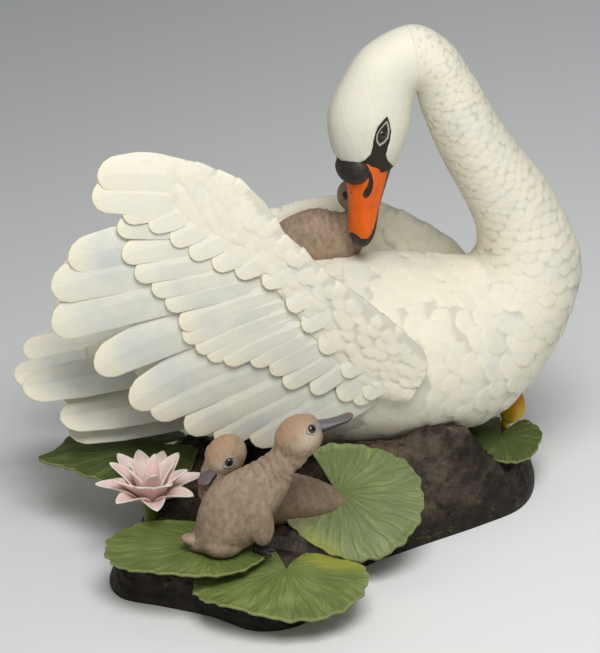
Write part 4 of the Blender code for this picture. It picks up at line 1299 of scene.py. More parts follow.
@dataclass
class SwanHead:
    """The head's fine skin with its painted mask, the bill, the knob and the eyes."""

    body: SwanBody
    bill_root: Point = (36, -4, 228)
    bill_lean: Point = (-0.10, -0.06, -1.0)
    bill_turn: float = math.radians(50.0)
    bill_length: float = 55.2
    bill_widths: Point = (27, 20.4)  # at the root and towards the tip
    bill_depths: Point = (34, 12)
    knob_sizes: Point = (13.8, 9.2, 10.8)  # half its size across the bill, off it and along it
    knob_down: float = 0.8  # how far its middle lies along the bill from its root
    knob_side: float = 1.5  # how far it lies to the side that the photograph shows on the left
    knob_out: float = 11.4  # how far its middle stands from the bill's axis
    eye_radius: float = 2.9
    face_from: float = 0.45  # how far along the head's skin its painted marks begin
    # Outlines in pixels of the photograph, from its left and top
    mask_px: Sequence[Point] = (
        (333, 154), (337, 159), (342.5, 163), (351, 165), (358, 163.7), (365, 160.3), (370.5, 154.7),
        (372.5, 147.7), (373.3, 140.7), (375.2, 133.7), (378, 126.7), (383, 121), (387.6, 116),
        (390.4, 124), (391.8, 132), (390.7, 141), (388.2, 148), (386.5, 155), (388, 160.5), (392, 164.5),
        (396, 168), (380, 190), (340, 190), (328, 165),
    )
    nostril_px: Sequence[Point] = (
        (369.5, 169), (372, 175), (373.6, 182), (373, 188), (371, 193.5), (368, 197.6), (364.5, 198.4),
        (362.6, 195.4), (363.6, 191), (367, 186.5), (368.6, 181), (368.4, 175),
    )
    seam_px: Sequence[Point] = ((344, 180), (349.8, 182), (351.8, 193.5), (350, 195.5), (344, 192))
    edge_px: Sequence[Point] = (
        (388.4, 166), (386.2, 178), (382.3, 193.5), (378.0, 211), (373.8, 228), (370.5, 238), (372, 250),
        (388, 236), (398, 190), (398, 166),
    )
    crown_px: Sequence[Point] = (
        (330, 140), (330, 160), (345, 176), (362, 172), (366, 163.5), (368.5, 164.5), (371, 166.6),
        (376.4, 168), (387, 167.4), (400, 165), (400, 140),
    )
    ring_px: Sequence[Point] = (
        (387.4, 120.5), (389.7, 126), (390.3, 132), (389.2, 138.6), (385.5, 143.4), (379.6, 147),
        (376.3, 141.5), (376.6, 135), (381, 128),
    )
    nail_px: Sequence[Point] = (
        (340, 236), (347.5, 235.4), (352.3, 232.2), (356.5, 234.6), (361.5, 238.8), (367, 238.6),
        (371.5, 234.5), (385, 236), (376, 256), (340, 256),
    )
    eye_px: Point = (382.2, 135.4)

    def __post_init__(self) -> None:
        """Works out the bill's frame and the plane that the head is the same on both sides of."""
        lean = SWAN.world(*(np.array(self.bill_lean))) - SWAN.world(0.0, 0.0, 0.0)
        self.along = unit(lean)
        towards = np.array((-math.sin(self.bill_turn), -math.cos(self.bill_turn), 0.0))
        self.across = unit(np.cross(self.along, towards))
        self.top = unit(np.cross(self.across, self.along))
        self.root = SWAN.world(*(np.array(self.bill_root) * MM))

    def _marks(self) -> Sequence[Sequence[Point]]:
        """The outlines that are painted black on the bill, the nostril first."""
        return self.nostril_px, self.edge_px, self.nail_px, self.seam_px, self.crown_px

    def _seen(self, points: Array) -> Array:
        """Pixels of the points, each carried to the side of the head that the photograph shows."""
        away = (points - self.root) @ self.across
        return VIEW.pixels(points - np.maximum(away, 0)[:, None] * 2 * self.across)

    def build_skin(self, finish: Material) -> Mesh:
        """The head's skin. The painted mask lies a little lower than the white plumes round it."""
        first = self.body.head_from
        last = self.body.skin.last

        def shape(u: Array, v: Array) -> Placed:
            place, angle = first + u * (last - first), v * FULL_TURN
            spots = self.body.skin.spot(place, angle)
            _, _, outward = self.body.skin.ways(place, angle)
            seen = self._seen(spots)
            face = u > self.face_from
            mask = np.where(face, outline_distance(seen, self.mask_px) * PX_MM, OUTSIDE)
            ring = np.where(face, outline_distance(seen, self.ring_px) * PX_MM, OUTSIDE)
            eye = np.linalg.norm((seen - self.eye_px) * (1.0, 0.86), axis=1) * PX_MM
            socket = np.exp(-((eye / 5.0) ** 2)) * 0.8 - 0.35 * np.exp(-((ring / 0.5) ** 2))
            brow = np.exp(-(((seen[:, 0] - 372) / 7) ** 2) - ((seen[:, 1] - 128) / 16) ** 2) * 0.8
            sunk = -0.75 * smooth_step(-0.5, 0.6, mask) - np.where(face, socket - brow, 0)
            strokes = bumpiness(spots * (1.0, 1.0, 0.45), 2.2 * MM, 3.0, 2) * 0.16
            cool = 0.25 + 0.75 * smooth_step(0.45, 0.95, u)
            places = spots + outward * ((sunk + strokes) * MM)[:, None]
            return places, {"mask": mask, "ring": ring, "cool": cool}

        mesh = skin_mesh("swan_head", 170, 180, shape)
        put("swan_head", mesh, finish, Slot.BISQUE)
        return mesh

    def build_bill(self, finish: Material) -> None:
        """The bill: deep and broad at the root, flat and rounded at the tip, with its painted marks."""

        def shape(u: Array, v: Array) -> Placed:
            share, angle = -0.20 + u * 1.19, v * FULL_TURN
            t = np.maximum(share, 0.0)
            rounding = np.clip((t - 0.72) / 0.28, 0, 1)
            size = np.sqrt(np.maximum(1 - rounding**2.2, 0.0)) / 2
            width = self.bill_widths[0] + (self.bill_widths[1] - self.bill_widths[0]) * np.minimum(t / 0.5, 1)
            width = width * (1 - 0.07 * np.exp(-(((t - 0.45) / 0.2) ** 2)))
            depth = self.bill_depths[0] + (self.bill_depths[1] - self.bill_depths[0]) * t**0.7
            edge, ridge = np.cos(angle), np.sin(angle)
            flat = np.sign(ridge) * np.abs(ridge) ** 0.9
            spots = self.root + np.outer(share * self.bill_length * MM, self.along)
            spots = spots + np.outer(edge * width * size * MM, self.across)
            spots = spots + np.outer(flat * depth * size * MM, self.top)
            seen = self._seen(spots)
            marks = [outline_distance(seen, outline) * PX_MM for outline in self._marks()]
            hollow = smooth_step(0.2, 1.2, marks[0]) * 0.8
            gape = np.exp(-(((np.mod(angle, FULL_TURN) / np.pi - 1) / 0.035) ** 2))
            gape = gape + np.exp(-((np.minimum(angle, FULL_TURN - angle) / 0.11) ** 2))
            inward = -(np.outer(edge, self.across) + np.outer(ridge, self.top))
            spots = spots + inward * ((hollow + 0.5 * gape) * MM)[:, None]
            return spots, {"black": np.max(marks, axis=0)}

        put("swan_bill", skin_mesh("swan_bill", 150, 160, shape), finish, Slot.BISQUE)

    def build_knob(self, finish: Material) -> None:
        """The black knob over the bill's root."""
        bm = bmesh.new()
        away = self.top * self.knob_out + self.along * self.knob_down + self.across * self.knob_side
        turn = Matrix((self.across, self.top, -self.along)).transposed()
        add_ball(bm, self.root + away * MM, tuple(size * MM for size in self.knob_sizes), turn, 48)
        mesh = to_mesh(bm, "swan_knob")
        spots = points_of(mesh)
        move_points(mesh, spots + normals_of(mesh) * (bumpiness(spots, 3.0 * MM, 5.0) * 0.30 * MM)[:, None])
        put("swan_knob", mesh, finish, Slot.BISQUE)

    def build_eyes(self, head: Mesh, eye: Material, lid: Material) -> None:
        """Both eyes: a low dome with a lid round it, as the photograph shows the near one."""
        spots = points_of(head)
        away = np.linalg.norm(VIEW.pixels(spots) - self.eye_px, axis=1)
        depth = (spots - VIEW.place()) @ VIEW.axes()[2]
        facing = normals_of(head) @ VIEW.axes()[2] < 0
        nearest = np.argmin(away + np.where(facing, 0, 1e6) + depth * 1e-3)
        out = normals_of(head)[nearest]
        place = spots[nearest]
        for label, mirror in (("near", 0.0), ("far", 2.0)):
            middle = place - mirror * ((place - self.root) @ self.across) * self.across
            way = out - mirror * (out @ self.across) * self.across
            name = f"swan_eye_{label}"
            put(name, dome(name, middle - way * 0.4 * MM, way, self.eye_radius * MM, 0.62), eye, Slot.BISQUE)
            name = f"swan_lid_{label}"
            ring = lid_ring(name, middle, way, self.along, self.eye_radius * 1.04 * MM, 0.26 * MM)
            put(name, ring, lid, Slot.BISQUE)


def frame_about(out: Array, along: Array) -> tuple[Array, Array]:
    """Two ways across a direction, the first as near to along as it can be."""
    first = unit(along - out * (along @ out))
    return first, np.cross(out, first)


def dome(name: str, middle: Array, out: Array, radius: float, bulge: float) -> Mesh:
    """A painted eye: a low dome whose UV map's first number runs from its middle outwards."""
    first, second = frame_about(np.asarray(out, float), np.array((0.1, 0.2, 0.97)))

    def shape(u: Array, v: Array) -> Placed:
        fall = u * np.pi / 2
        angle = v * FULL_TURN
        flat = np.outer(np.cos(angle), first) + np.outer(np.sin(angle), second)
        spots = middle + flat * (np.sin(fall) * radius)[:, None]
        return spots + np.outer(np.cos(fall) * radius * bulge, out), {}

    return skin_mesh(name, 16, 32, shape)


def lid_ring(name: str, middle: Array, out: Array, along: Array, radius: float, wire: float) -> Mesh:
    """A lid: a thin almond-shaped ring round an eye, drawn out along one way."""
    first, second = frame_about(np.asarray(out, float), np.asarray(along, float))
    steps = 40
    angle = np.linspace(0, FULL_TURN, steps + 1)
    drawn = 1.0 + 0.38 * np.abs(np.cos(angle)) ** 5
    line = middle + np.outer(np.cos(angle) * radius * drawn, first) + np.outer(np.sin(angle) * radius, second)
    bm = bmesh.new()
    made = bmesh.ops.create_grid(bm, x_segments=steps, y_segments=8, size=1.0)["verts"]
    for vert in made:
        k = int(round((vert.co.x / 2 + 0.5) * steps))
        turn = math.pi * (vert.co.y + 1)
        outward = unit(line[k] - middle)
        vert.co = line[k] + (outward * math.cos(turn) + np.asarray(out) * math.sin(turn)) * wire
    bmesh.ops.remove_doubles(bm, verts=bm.verts, dist=WELD)
    return to_mesh(bm, name)


# Wings and tail


@dataclass
class Quills:
    """A row of long feathers, in millimetres as (forward, up): where each begins and ends."""

    roots: Sequence[Point]
    tips: Sequence[Point]
    rise: float
    blue: float = 0.75
    half_width: float = 0.0  # 0 for a share of the distance between tips
    count: int = 0  # spread evenly over the lines, or 0 for one feather at each point

    def lines(self) -> tuple[Array, Array, Array]:
        """Roots, tips and half widths of the row's feathers."""
        roots, tips = np.asarray(self.roots, float), np.asarray(self.tips, float)
        if self.count:
            share = np.linspace(0, 1, self.count)
            roots, tips = SmoothLine(roots).share(share), SmoothLine(tips).share(share)
        if self.half_width:
            return roots, tips, np.full(len(tips), self.half_width)
        steps = np.linalg.norm(np.diff(tips, axis=0), axis=1)
        around = (np.append(steps, steps[-1]) + np.append(steps[0], steps)) / 2
        return roots, tips, np.clip(around * 0.64, 8.5, 15.0)


def lay_quills(
    name: str,
    point: Callable[[Array, Array, Array], Array],
    rows: Sequence[Quills],
    finish: Material,
    seed: int,
    thickness: float = 2.0,
) -> None:
    """Long feathers as thin crowned slabs, each with its lower edge over the feather below.

    Args:
        name: the piece's name.
        point: carries (forward, rise, up) in millimetres to the world.
        rows: the rows of feathers.
        finish: their material.
        seed: of the small differences between them.
        thickness: of a slab in its middle, in millimetres.
    """
    rng = np.random.default_rng(seed)
    along, across, layer = LONG_MOULD.along, LONG_MOULD.across, LONG_MOULD.layer
    tip = np.clip((along - 0.70) / 0.30, 0, 1)
    width = 0.66 + 0.34 * np.sin(np.pi / 2 * np.minimum(along / 0.55, 1)) - 0.16 * tip
    spots, blues, creams = [], [], []
    for row in rows:
        roots, tips, half = row.lines()
        count = len(roots)
        run = tips - roots
        length = np.linalg.norm(run, axis=1)
        upper = np.stack([-run[:, 1], run[:, 0]], axis=1) / length[:, None]
        upper *= np.where(upper[:, 1] < 0, -1, 1)[:, None]
        rounding = 0.95 * (half / length)[:, None] * (1 - np.sqrt(1 - (0.985 * across) ** 2))
        ahead = along * (1 - rounding)
        bow = 0.045 * length[:, None] * np.sin(np.pi * np.minimum(ahead, 1.0))
        aside = across * width * half[:, None] * rng.uniform(0.94, 1.04, count)[:, None] + bow
        flat = roots[:, None] + run[:, None] * ahead[:, :, None] + upper[:, None] * aside[:, :, None]
        crown = 0.07 * half[:, None] * (1 - across**2)
        shaft = 0.22 * (np.abs(across) < 0.02) * (1 - 0.8 * along) * layer
        slab = layer * thickness / 2 * (0.35 + 0.65 * (1 - across**2)) * (1 - 0.35 * along)
        lift = 0.6 * smooth_step(0.2, 1.0, along) - 2.4 * smooth_step(0.32, 0.0, along)
        lift = lift + rng.uniform(-0.15, 0.2, count)[:, None]
        rise = row.rise + crown - 0.85 * across + lift + shaft + slab
        spots.append(point(flat[:, :, 0], rise, flat[:, :, 1]))
        blues.append(row.blue * rng.uniform(0.75, 1.15, count))
        creams.append(rng.uniform(0.45, 1.0, count))
    places = np.concatenate(spots)
    paints = {
        "blue": np.concatenate(blues),
        "creamy": np.concatenate(creams),
        # painted shade at each feather's root, where the feather above covers it
        "hollow": np.broadcast_to(smooth_step(0.30, 0.0, along) * 0.55, (len(places), len(along))),
    }
    put(name, LONG_MOULD.lay(name, places, paints), finish, Slot.BISQUE)


@dataclass
class Wing:
    """A raised wing: a feathered arm, and rows of long feathers behind it."""

    name: str
    side: float  # -1 for the near wing, 1 for the far one
    out: float
    ridge: Sequence[Point]
    covert_edge: Sequence[Point]
    rows: Sequence[Quills]
    covert_sizes: Point = (9.5, 10.5, 13.0, 17.0)  # from the shoulder to the outer end
    covert_lean: tuple[Array, Array] = (np.array((-0.72, -0.69)), np.array((-1.0, -0.10)))
    arm_depths: Point = (13.0, 4.0)
    section: Sequence[Point] = (
        (0, 0.1), (0.10, 0.32), (0.45, 0.30), (0.85, 0.22), (1, 0), (0.85, -0.45), (0.45, -1), (0.10, -0.60),
    )
    bow_middle: Point = (-50, 145)
    bow_reach: Point = (140, 105)
    bow: Point = (10, 12)
    length: float = field(init=False)

    def __post_init__(self) -> None:
        """Works out the ridge's length in millimetres."""
        ridge = SmoothLine(self.ridge).share(np.linspace(0, 1, 60))
        self.length = float(np.linalg.norm(np.diff(ridge, axis=0), axis=1).sum())

    def point(self, forward: Array, rise: Array, up: Array) -> Array:
        """The world place of a point that lies rise outside the wing's middle surface."""
        a = (forward - self.bow_middle[0]) / self.bow_reach[0]
        b = (up - self.bow_middle[1]) / self.bow_reach[1]
        out = self.out - self.bow[0] * a * a - self.bow[1] * b * b + rise
        return SWAN.world(forward * MM, self.side * out * MM, up * MM)

    def _arm(self, share: Array, down: Array, level: Array) -> tuple[Array, Array, Array]:
        """Forward, rise and up of the arm, by share along it, share down from its ridge and level."""
        ridge, edge = SmoothLine(self.ridge).share(share), SmoothLine(self.covert_edge).share(share)
        flat = ridge + (edge - ridge) * down[:, None]
        depth = self.arm_depths[0] + (self.arm_depths[1] - self.arm_depths[0]) * share
        return flat[:, 0], depth * level, flat[:, 1]

    def _surface(self, u: Array, v: Array) -> Array:
        """World places on the arm: u along it, v round its section from the ridge over the outer side."""
        section = SmoothLine(self.section, closed=True)
        turn = section.at(v * section.last)
        return self.point(*self._arm(u, turn[:, 0], turn[:, 1]))

    def _coverts(self) -> Scallops:
        """Round feathers over the arm: small at the shoulder and large at the outer end."""
        rng = np.random.default_rng(31)
        rounds = np.linspace(0, 1, 161)
        sizes_at = np.linspace(0, 1, len(self.covert_sizes))
        rows, at, odd = [], 0.01, False
        while at < 1.0:
            size = float(np.interp(at, sizes_at, self.covert_sizes))
            ring = self._surface(np.full(len(rounds), at), rounds)
            rows += [(at, v, size) for v in spaced_round(rng, ring, rounds, 0.84 * size * MM, 0.15, 4, odd)]
            at += 0.62 * size / self.length
            odd = not odd
        u, v, size = np.array(rows).T
        u = np.clip(u + rng.uniform(-0.008, 0.008, len(u)), 0.001, 0.999)
        step = 0.004
        along = self._surface(np.minimum(u + step, 1), v) - self._surface(np.maximum(u - step, 0), v)
        around = self._surface(u, v + step) - self._surface(u, v - step)
        outward = unit(np.cross(along, around))
        lean = self.covert_lean[0] * (1 - u)[:, None] + self.covert_lean[1] * u[:, None]
        none = np.zeros(len(u))
        heading = self.point(lean[:, 0], none, lean[:, 1]) - self.point(none, none, none)
        ways = unit(heading - outward * np.sum(heading * outward, axis=1)[:, None])
        ways, sides = twisted(ways, outward, rng.uniform(-0.2, 0.2, len(u)))
        length = size * MM * rng.uniform(0.9, 1.2, len(u))
        middles = self._surface(u, v) - ways * length[:, None] * 0.35
        halves = length * rng.uniform(0.52, 0.62, len(u))
        lifts = length * 0.085 * rng.uniform(0.75, 1.2, len(u))
        return Scallops(middles, ways, sides, length * 1.25, halves, lifts, rng.uniform(0, 1, len(u)))

    def build(self, relief: Material, plumage: Material) -> None:
        """The whole wing."""
        name = f"{self.name}_arm"
        mesh = skin_mesh(name, 250, 150, lambda u, v: (self._surface(u, v), {}))
        spots = points_of(mesh)
        move_points(mesh, spots + normals_of(mesh) * (bumpiness(spots, 16 * MM, 5.0, 2) * 0.6 * MM)[:, None])
        self._coverts().raise_on(mesh, 1.0 * MM)
        put(name, mesh, relief, Slot.BISQUE)
        lay_quills(f"{self.name}_quills", self.point, self.rows, plumage, 11 if self.side < 0 else 13)


NEAR_WING = Wing(
    name="near_wing",
    side=-1.0,
    out=83,
    ridge=(
        (57, 113), (56, 127), (45, 140), (30, 155), (11, 173), (-5, 185), (-21, 203), (-34, 216), (-44, 233),
        (-55, 245), (-64, 252), (-82, 260), (-97, 264), (-115, 266), (-132, 265), (-141, 261),
    ),
    covert_edge=(
        (46, 92), (21, 102), (4, 121), (-12, 140), (-23, 156), (-32, 170), (-49, 189), (-65, 195), (-79, 201),
        (-93, 209), (-104, 218), (-117, 228), (-132, 234), (-146, 242),
    ),
    rows=(
        Quills(
            roots=(
                (-92, 213), (-86, 201), (-77, 185), (-62, 167), (-43, 148), (-27, 133), (-11, 123), (2, 115),
                (15, 108), (24, 102),
            ),
            tips=(
                (-166, 207), (-177, 189), (-178, 165), (-153, 136), (-132, 110),
                (-119, 102), (-98, 89), (-79, 79),
                (-56, 76), (-30, 85),
            ),
            rise=-1.6,
            blue=0.75,
        ),
        Quills(
            roots=(
                (-84, 222), (-78, 213), (-65, 202), (-53, 193), (-44, 187), (-35, 180),
                (-30, 173), (-25, 167),
                (-22, 162), (-17, 157), (-12, 151), (-6, 145),
            ),
            tips=(
                (-136, 226), (-134, 209), (-127, 197), (-117, 187), (-109, 177),
                (-101, 163), (-99, 154), (-91, 146),
                (-84, 140), (-74, 137), (-57, 134), (-45, 130),
            ),
            rise=0.7,
            blue=0.6,
            half_width=9.5,
        ),
        Quills(
            roots=((-2, 141), (5, 137), (14, 131), (22, 125), (31, 119)),
            tips=((-45, 127), (-36, 116), (-18, 109), (1, 101), (11, 97)),
            rise=0.6,
            blue=0.55,
            half_width=9.5,
        ),
        Quills(
            roots=(
                (-96, 246), (-98, 240), (-90, 235), (-78, 228), (-66, 219), (-54, 212),
                (-40, 206), (-26, 194),
                (-14, 182), (-2, 168), (10, 152), (22, 134), (34, 116),
            ),
            tips=(
                (-146, 243), (-132, 233), (-117, 226), (-104, 216), (-93, 207), (-79, 199), (-65, 193),
                (-49, 186), (-33, 168), (-24, 154), (-13, 138), (2, 119), (17, 101),
            ),
            rise=1.9,
            blue=0.15,
            half_width=9.5,
        ),
        Quills(
            roots=((-88, 252), (-90, 240)), tips=((-146, 258), (-150, 246)), rise=2.2, blue=0.1, half_width=12.5,
        ),
    ),
)

FAR_WING = Wing(
    name="far_wing",
    side=1.0,
    out=76,
    ridge=((132, 122), (119, 136), (104, 150), (66, 171), (30, 178), (-10, 171), (-50, 160), (-90, 148)),
    covert_edge=((122, 98), (96, 84), (70, 82), (36, 92), (2, 110), (-32, 124), (-66, 130), (-98, 138)),
    rows=(
        Quills(
            roots=((-30, 152), (-10, 116), (46, 92)),
            tips=((-158, 136), (-160, 110), (-118, 82), (-60, 66), (10, 62)),
            rise=-1.8,
            count=10,
            half_width=14.0,
        ),
        Quills(
            roots=((-34, 160), (4, 134), (66, 108)),
            tips=((-126, 146), (-102, 116), (-50, 88), (34, 74)),
            rise=0.5,
            count=10,
            half_width=11.5,
        ),
    ),
    covert_sizes=(11.0, 13.0),
)


@dataclass
class Tail:
    """The short tail: stiff feathers that fan from under the wings."""

    # Root and tip as (forward, side, up), and half width, in millimetres
    feathers: Sequence[tuple[Point, Point, float]] = (
        ((-95, -16, 106), (-194, -30, 103), 13.5),
        ((-95, 14, 108), (-188, 24, 106), 13.5),
        ((-90, 0, 100), (-197, -4, 101), 13.5),
        ((-85, -26, 84), (-172, -38, 84), 13.5),
        ((-85, 26, 86), (-170, 42, 88), 13.5),
        ((-80, -22, 72), (-166, -30, 70), 12.5),
        ((-80, 16, 72), (-164, 20, 72), 12.5),
    )
    across: Point = (0.0, 0.8, 0.6)

    def build(self, plumage: Material) -> None:
        """Makes the feathers."""
        rng = np.random.default_rng(17)
        along, across, layer = LONG_MOULD.along, LONG_MOULD.across, LONG_MOULD.layer
        tip = np.clip((along - 0.72) / 0.28, 0, 1)
        width = 0.75 + 0.25 * np.sin(np.pi / 2 * np.minimum(along / 0.5, 1)) - 0.18 * tip
        places = []
        for root, end, half in self.feathers:
            root, end = np.array(root, float), np.array(end, float)
            heading = unit(end - root)
            sideways = unit(np.array(self.across) - heading * (np.array(self.across) @ heading))
            above = np.cross(heading, sideways)
            above *= np.sign(above[2])
            slab = layer * (0.30 + 0.70 * (1 - across**2)) * (1 - 0.45 * along)
            shaft = 0.4 * (np.abs(across) < 0.02) * layer
            rise = 0.10 * half * (1 - across**2) + slab + shaft + 2.0 * np.sin(np.pi * along)
            rounding = 1.1 * half / np.linalg.norm(end - root) * (1 - np.sqrt(1 - (0.985 * across) ** 2))
            spot = root + np.outer(along * (1 - rounding), end - root)
            spot = spot + np.outer(across * width * half, sideways) + np.outer(rise, above)
            places.append(SWAN.world(*(spot * MM).T))
        count = len(places)
        paints = {
            "blue": rng.uniform(0.5, 0.9, count),
            "creamy": rng.uniform(0.5, 1.0, count),
            # painted shade at each feather's root, where the feather above covers it
            "hollow": np.broadcast_to(smooth_step(0.35, 0.0, along) * 0.6, (count, len(along))),
        }
        put("swan_tail", LONG_MOULD.lay("swan_tail", np.array(places), paints), plumage, Slot.BISQUE)


# Cygnets


@dataclass
class Cygnet:
    """A downy cygnet. Its frame: along runs from tail to breast, side to its left, up above the floor."""

    name: str
    place: Point
    yaw: float
    stations: Sequence[tuple[Point, Point, float]]  # inner and outer point (along, up), half width
    head: Point  # along, up, half length, half width, pitch in degrees
    bill: tuple[Point, Point]  # root and tip as (along, up)
    bill_half: float = 5.6
    # Middle, half sizes, and turn about side and about up in degrees
    lumps: Sequence[tuple[Point, Point, Point]] = ()
    eye_at: Point = (0.50, 0.22)  # shares of the head's half length and half height
    tufts: float = 0.12
    # painted shadow: how much darker the body is painted where the swan shadows it
    painted_shadow: float = 0.0  # how much darker the body is painted
    head_turn: float = 0.0
    foot: Point = ()  # along, side and up of the dark foot that shows under the belly

    def __post_init__(self) -> None:
        """Works out the frame."""
        self.stand = Stand(math.radians(self.yaw), (self.place[0] * MM, self.place[1] * MM))

    def world(self, spot: Array) -> Array:
        """World places of rows of (along, side, up) in millimetres."""
        return self.stand.world(*(np.asarray(spot, float) * MM).T)

    def _turn(self, pitch: float, swing: float = 0.0) -> Matrix:
        """The turn of a form that points along, pitched up and swung to its left."""
        tilt = Matrix.Rotation(-math.radians(pitch), 3, "Y")
        return Matrix.Rotation(math.radians(self.yaw + swing), 3, "Z") @ tilt

    def _body(self, bm: BMesh) -> None:
        """Adds the body and neck."""
        rows = [(*inner, *outer, half) for inner, outer, half in self.stations]
        loft = Loft(rows, self.stand.world)
        made = bmesh.ops.create_grid(bm, x_segments=44, y_segments=32, size=1.0)["verts"]
        spots = np.array([vert.co[:2] for vert in made]) / 2 + 0.5
        for vert, spot in zip(made, loft.spot(spots[:, 0] * loft.last, spots[:, 1] * FULL_TURN)):
            vert.co = spot
        close_up(bm)

    def _head(self, bm: BMesh) -> None:
        """Adds the head."""
        along, up, length, half, pitch = self.head
        middle = self.world([(along, 0, up)])[0]
        add_ball(bm, middle, (length * MM, half * MM, half * 1.02 * MM), self._turn(pitch, self.head_turn))

    def _lump(self, middle: Point, sizes: Point, turn: Point) -> Callable[[BMesh], None]:
        """A maker of one more egg, such as a folded wing or a thigh."""

        def add(bm: BMesh) -> None:
            sizes_m = tuple(size * MM for size in sizes)
            add_ball(bm, self.world([middle])[0], sizes_m, self._turn(turn[0], turn[1]))

        return add

    def build_body(self, finish: Material) -> None:
        """The down: forms melted together, then roughed up into tufts."""
        makers = [self._body, self._head, *(self._lump(*lump) for lump in self.lumps)]
        mesh = blended(self.name, makers, 0.9 * MM, 5)
        spots, ways = points_of(mesh), normals_of(mesh)
        turn = np.array(Matrix.Rotation(self.stand.yaw, 3, "Z"))
        local = (spots - (*self.stand.middle, 0.0)) @ turn / MM
        along, up, length, half, pitch = self.head
        rad = math.radians(pitch)
        ahead = (local[:, 0] - along) * math.cos(rad) + (local[:, 2] - up) * math.sin(rad)
        above = -(local[:, 0] - along) * math.sin(rad) + (local[:, 2] - up) * math.cos(rad)
        away = np.sqrt((ahead / length) ** 2 + (local[:, 1] / half) ** 2 + (above / half) ** 2)
        on_head = smooth_step(1.55, 1.05, away)
        rough = bumpiness(spots * (1.0, 1.0, 0.75), 3.4 * MM, 9.0, 3)
        drift = local[:, 0] * 0.35 + local[:, 2] * 0.35
        flow = np.column_stack([drift, local[:, 1], local[:, 2] - local[:, 0]]) * MM
        fine = bumpiness(flow, 1.6 * MM, 2.0, 3)
        neck = np.exp(-((away - 1.75) / 0.55) ** 2)
        folds = np.sin(FULL_TURN * (ahead + 3.0 * bumpiness(spots, 9 * MM, 7.0, 2)) / 5.5) * neck
        height = (self.tufts * rough + 0.26 * fine) * (1 - 0.72 * on_head) + 0.45 * folds
        move_points(mesh, spots + ways * (height * MM)[:, None])
        paint_points(mesh, "crest", np.clip(0.5 + 0.9 * rough, 0, 1) * (1 - 0.6 * on_head))
        paint_points(mesh, "crown", on_head * smooth_step(0.15, 0.75, above / half) * 0.85)
        cheek = np.exp(-(((ahead / length - 0.35) / 0.45) ** 2) - ((above / half - 0.05) / 0.42) ** 2)
        paint_points(mesh, "cheek", on_head * cheek * 0.85)
        # painted shade: darker on the underside, in the pits and folds of the down, and all over by the painted
        # shadow of the swan above
        under = smooth_step(0.1, -0.8, ways[:, 2]) * (1 - on_head) * 0.55
        deep = smooth_step(-0.2, -0.9, fine) * 0.30 + np.clip(-folds, 0, 1) * 0.25 + self.painted_shadow * (1 - on_head)
        paint_points(mesh, "painted_shade", np.clip(np.maximum(under, deep), 0, 1))
        put(self.name, mesh, finish, Slot.DOWN, self.name)

    def build_bill(self, finish: Material) -> None:
        """The bill: broad at the face and flat and round at the tip."""
        root, tip = np.array(self.bill[0], float), np.array(self.bill[1], float)
        swing = math.radians(self.head_turn)
        heading = tip - root
        top = np.array((-heading[1], heading[0])) / np.linalg.norm(heading)
        top *= np.sign(top[1]) if abs(top[1]) > 0.05 else 1.0

        def shape(u: Array, v: Array) -> Placed:
            share = -0.35 + u * 1.35
            t = np.maximum(share, 0)
            angle = v * FULL_TURN
            end = np.sqrt(np.maximum(1 - np.clip((t - 0.70) / 0.30, 0, 1) ** 2.3, 0))
            half = self.bill_half * (1 - 0.22 * t + 0.12 * np.exp(-(((t - 0.85) / 0.16) ** 2))) * end
            deep = self.bill_half * (0.34 + 0.72 * np.maximum(1 - t, 0) ** 2.4) * end
            lift = 0.6 * np.maximum(t - 0.75, 0) * 4
            flat = root + np.outer(share, heading) + np.outer(deep * np.sin(angle) + lift, top)
            side = half * np.cos(angle)
            off = flat[:, 0] - self.head[0]
            along = self.head[0] + off * math.cos(swing) - side * math.sin(swing)
            side = off * math.sin(swing) + side * math.cos(swing)
            return self.world(np.column_stack([along, side, flat[:, 1]])), {}

        put(f"{self.name}_bill", skin_mesh(f"{self.name}_bill", 36, 32, shape), finish, Slot.DOWN)

    def build_foot(self, finish: Material) -> None:
        """The dark webbed foot, where one shows: a flat heel and three toes."""
        if not self.foot:
            return
        bm = bmesh.new()
        heel = np.array(self.foot)
        for spread in (-0.55, 0.0, 0.55):
            ahead = np.array((math.cos(spread - 0.35), math.sin(spread - 0.35), -0.05))
            line = self.world(heel + np.outer((-2.0, 4.0, 8.5, 11.5), ahead))
            add_tube(bm, line, np.array((2.2, 1.9, 1.5, 0.7)) * MM, 12, 4)
        put(f"{self.name}_foot", to_mesh(bm, f"{self.name}_foot"), finish, Slot.DOWN)

    def build_eyes(self, eye: Material, lid: Material) -> None:
        """Both eyes, each with its lid."""
        along, up, length, half, pitch = self.head
        turn = np.array(self._turn(pitch, self.head_turn))
        middle = self.world([(along, 0, up)])[0]
        for side, label in ((-1.0, "right"), (1.0, "left")):
            a, b = self.eye_at
            c = math.sqrt(max(1 - a * a - b * b, 0.05)) * side
            local = np.array((a * length, c * half, b * half * 1.02))
            out = unit(turn @ np.array((a / length, c / half, b / half)))
            spot = middle + turn @ local * MM - out * 0.4 * MM
            name = f"{self.name}_eye_{label}"
            put(name, dome(name, spot, out, 2.6 * MM, 0.62), eye, Slot.DOWN)
            name = f"{self.name}_lid_{label}"
            ring = lid_ring(name, spot + out * 0.1 * MM, out, turn[:, 0], 3.1 * MM, 0.55 * MM)
            put(name, ring, lid, Slot.DOWN)


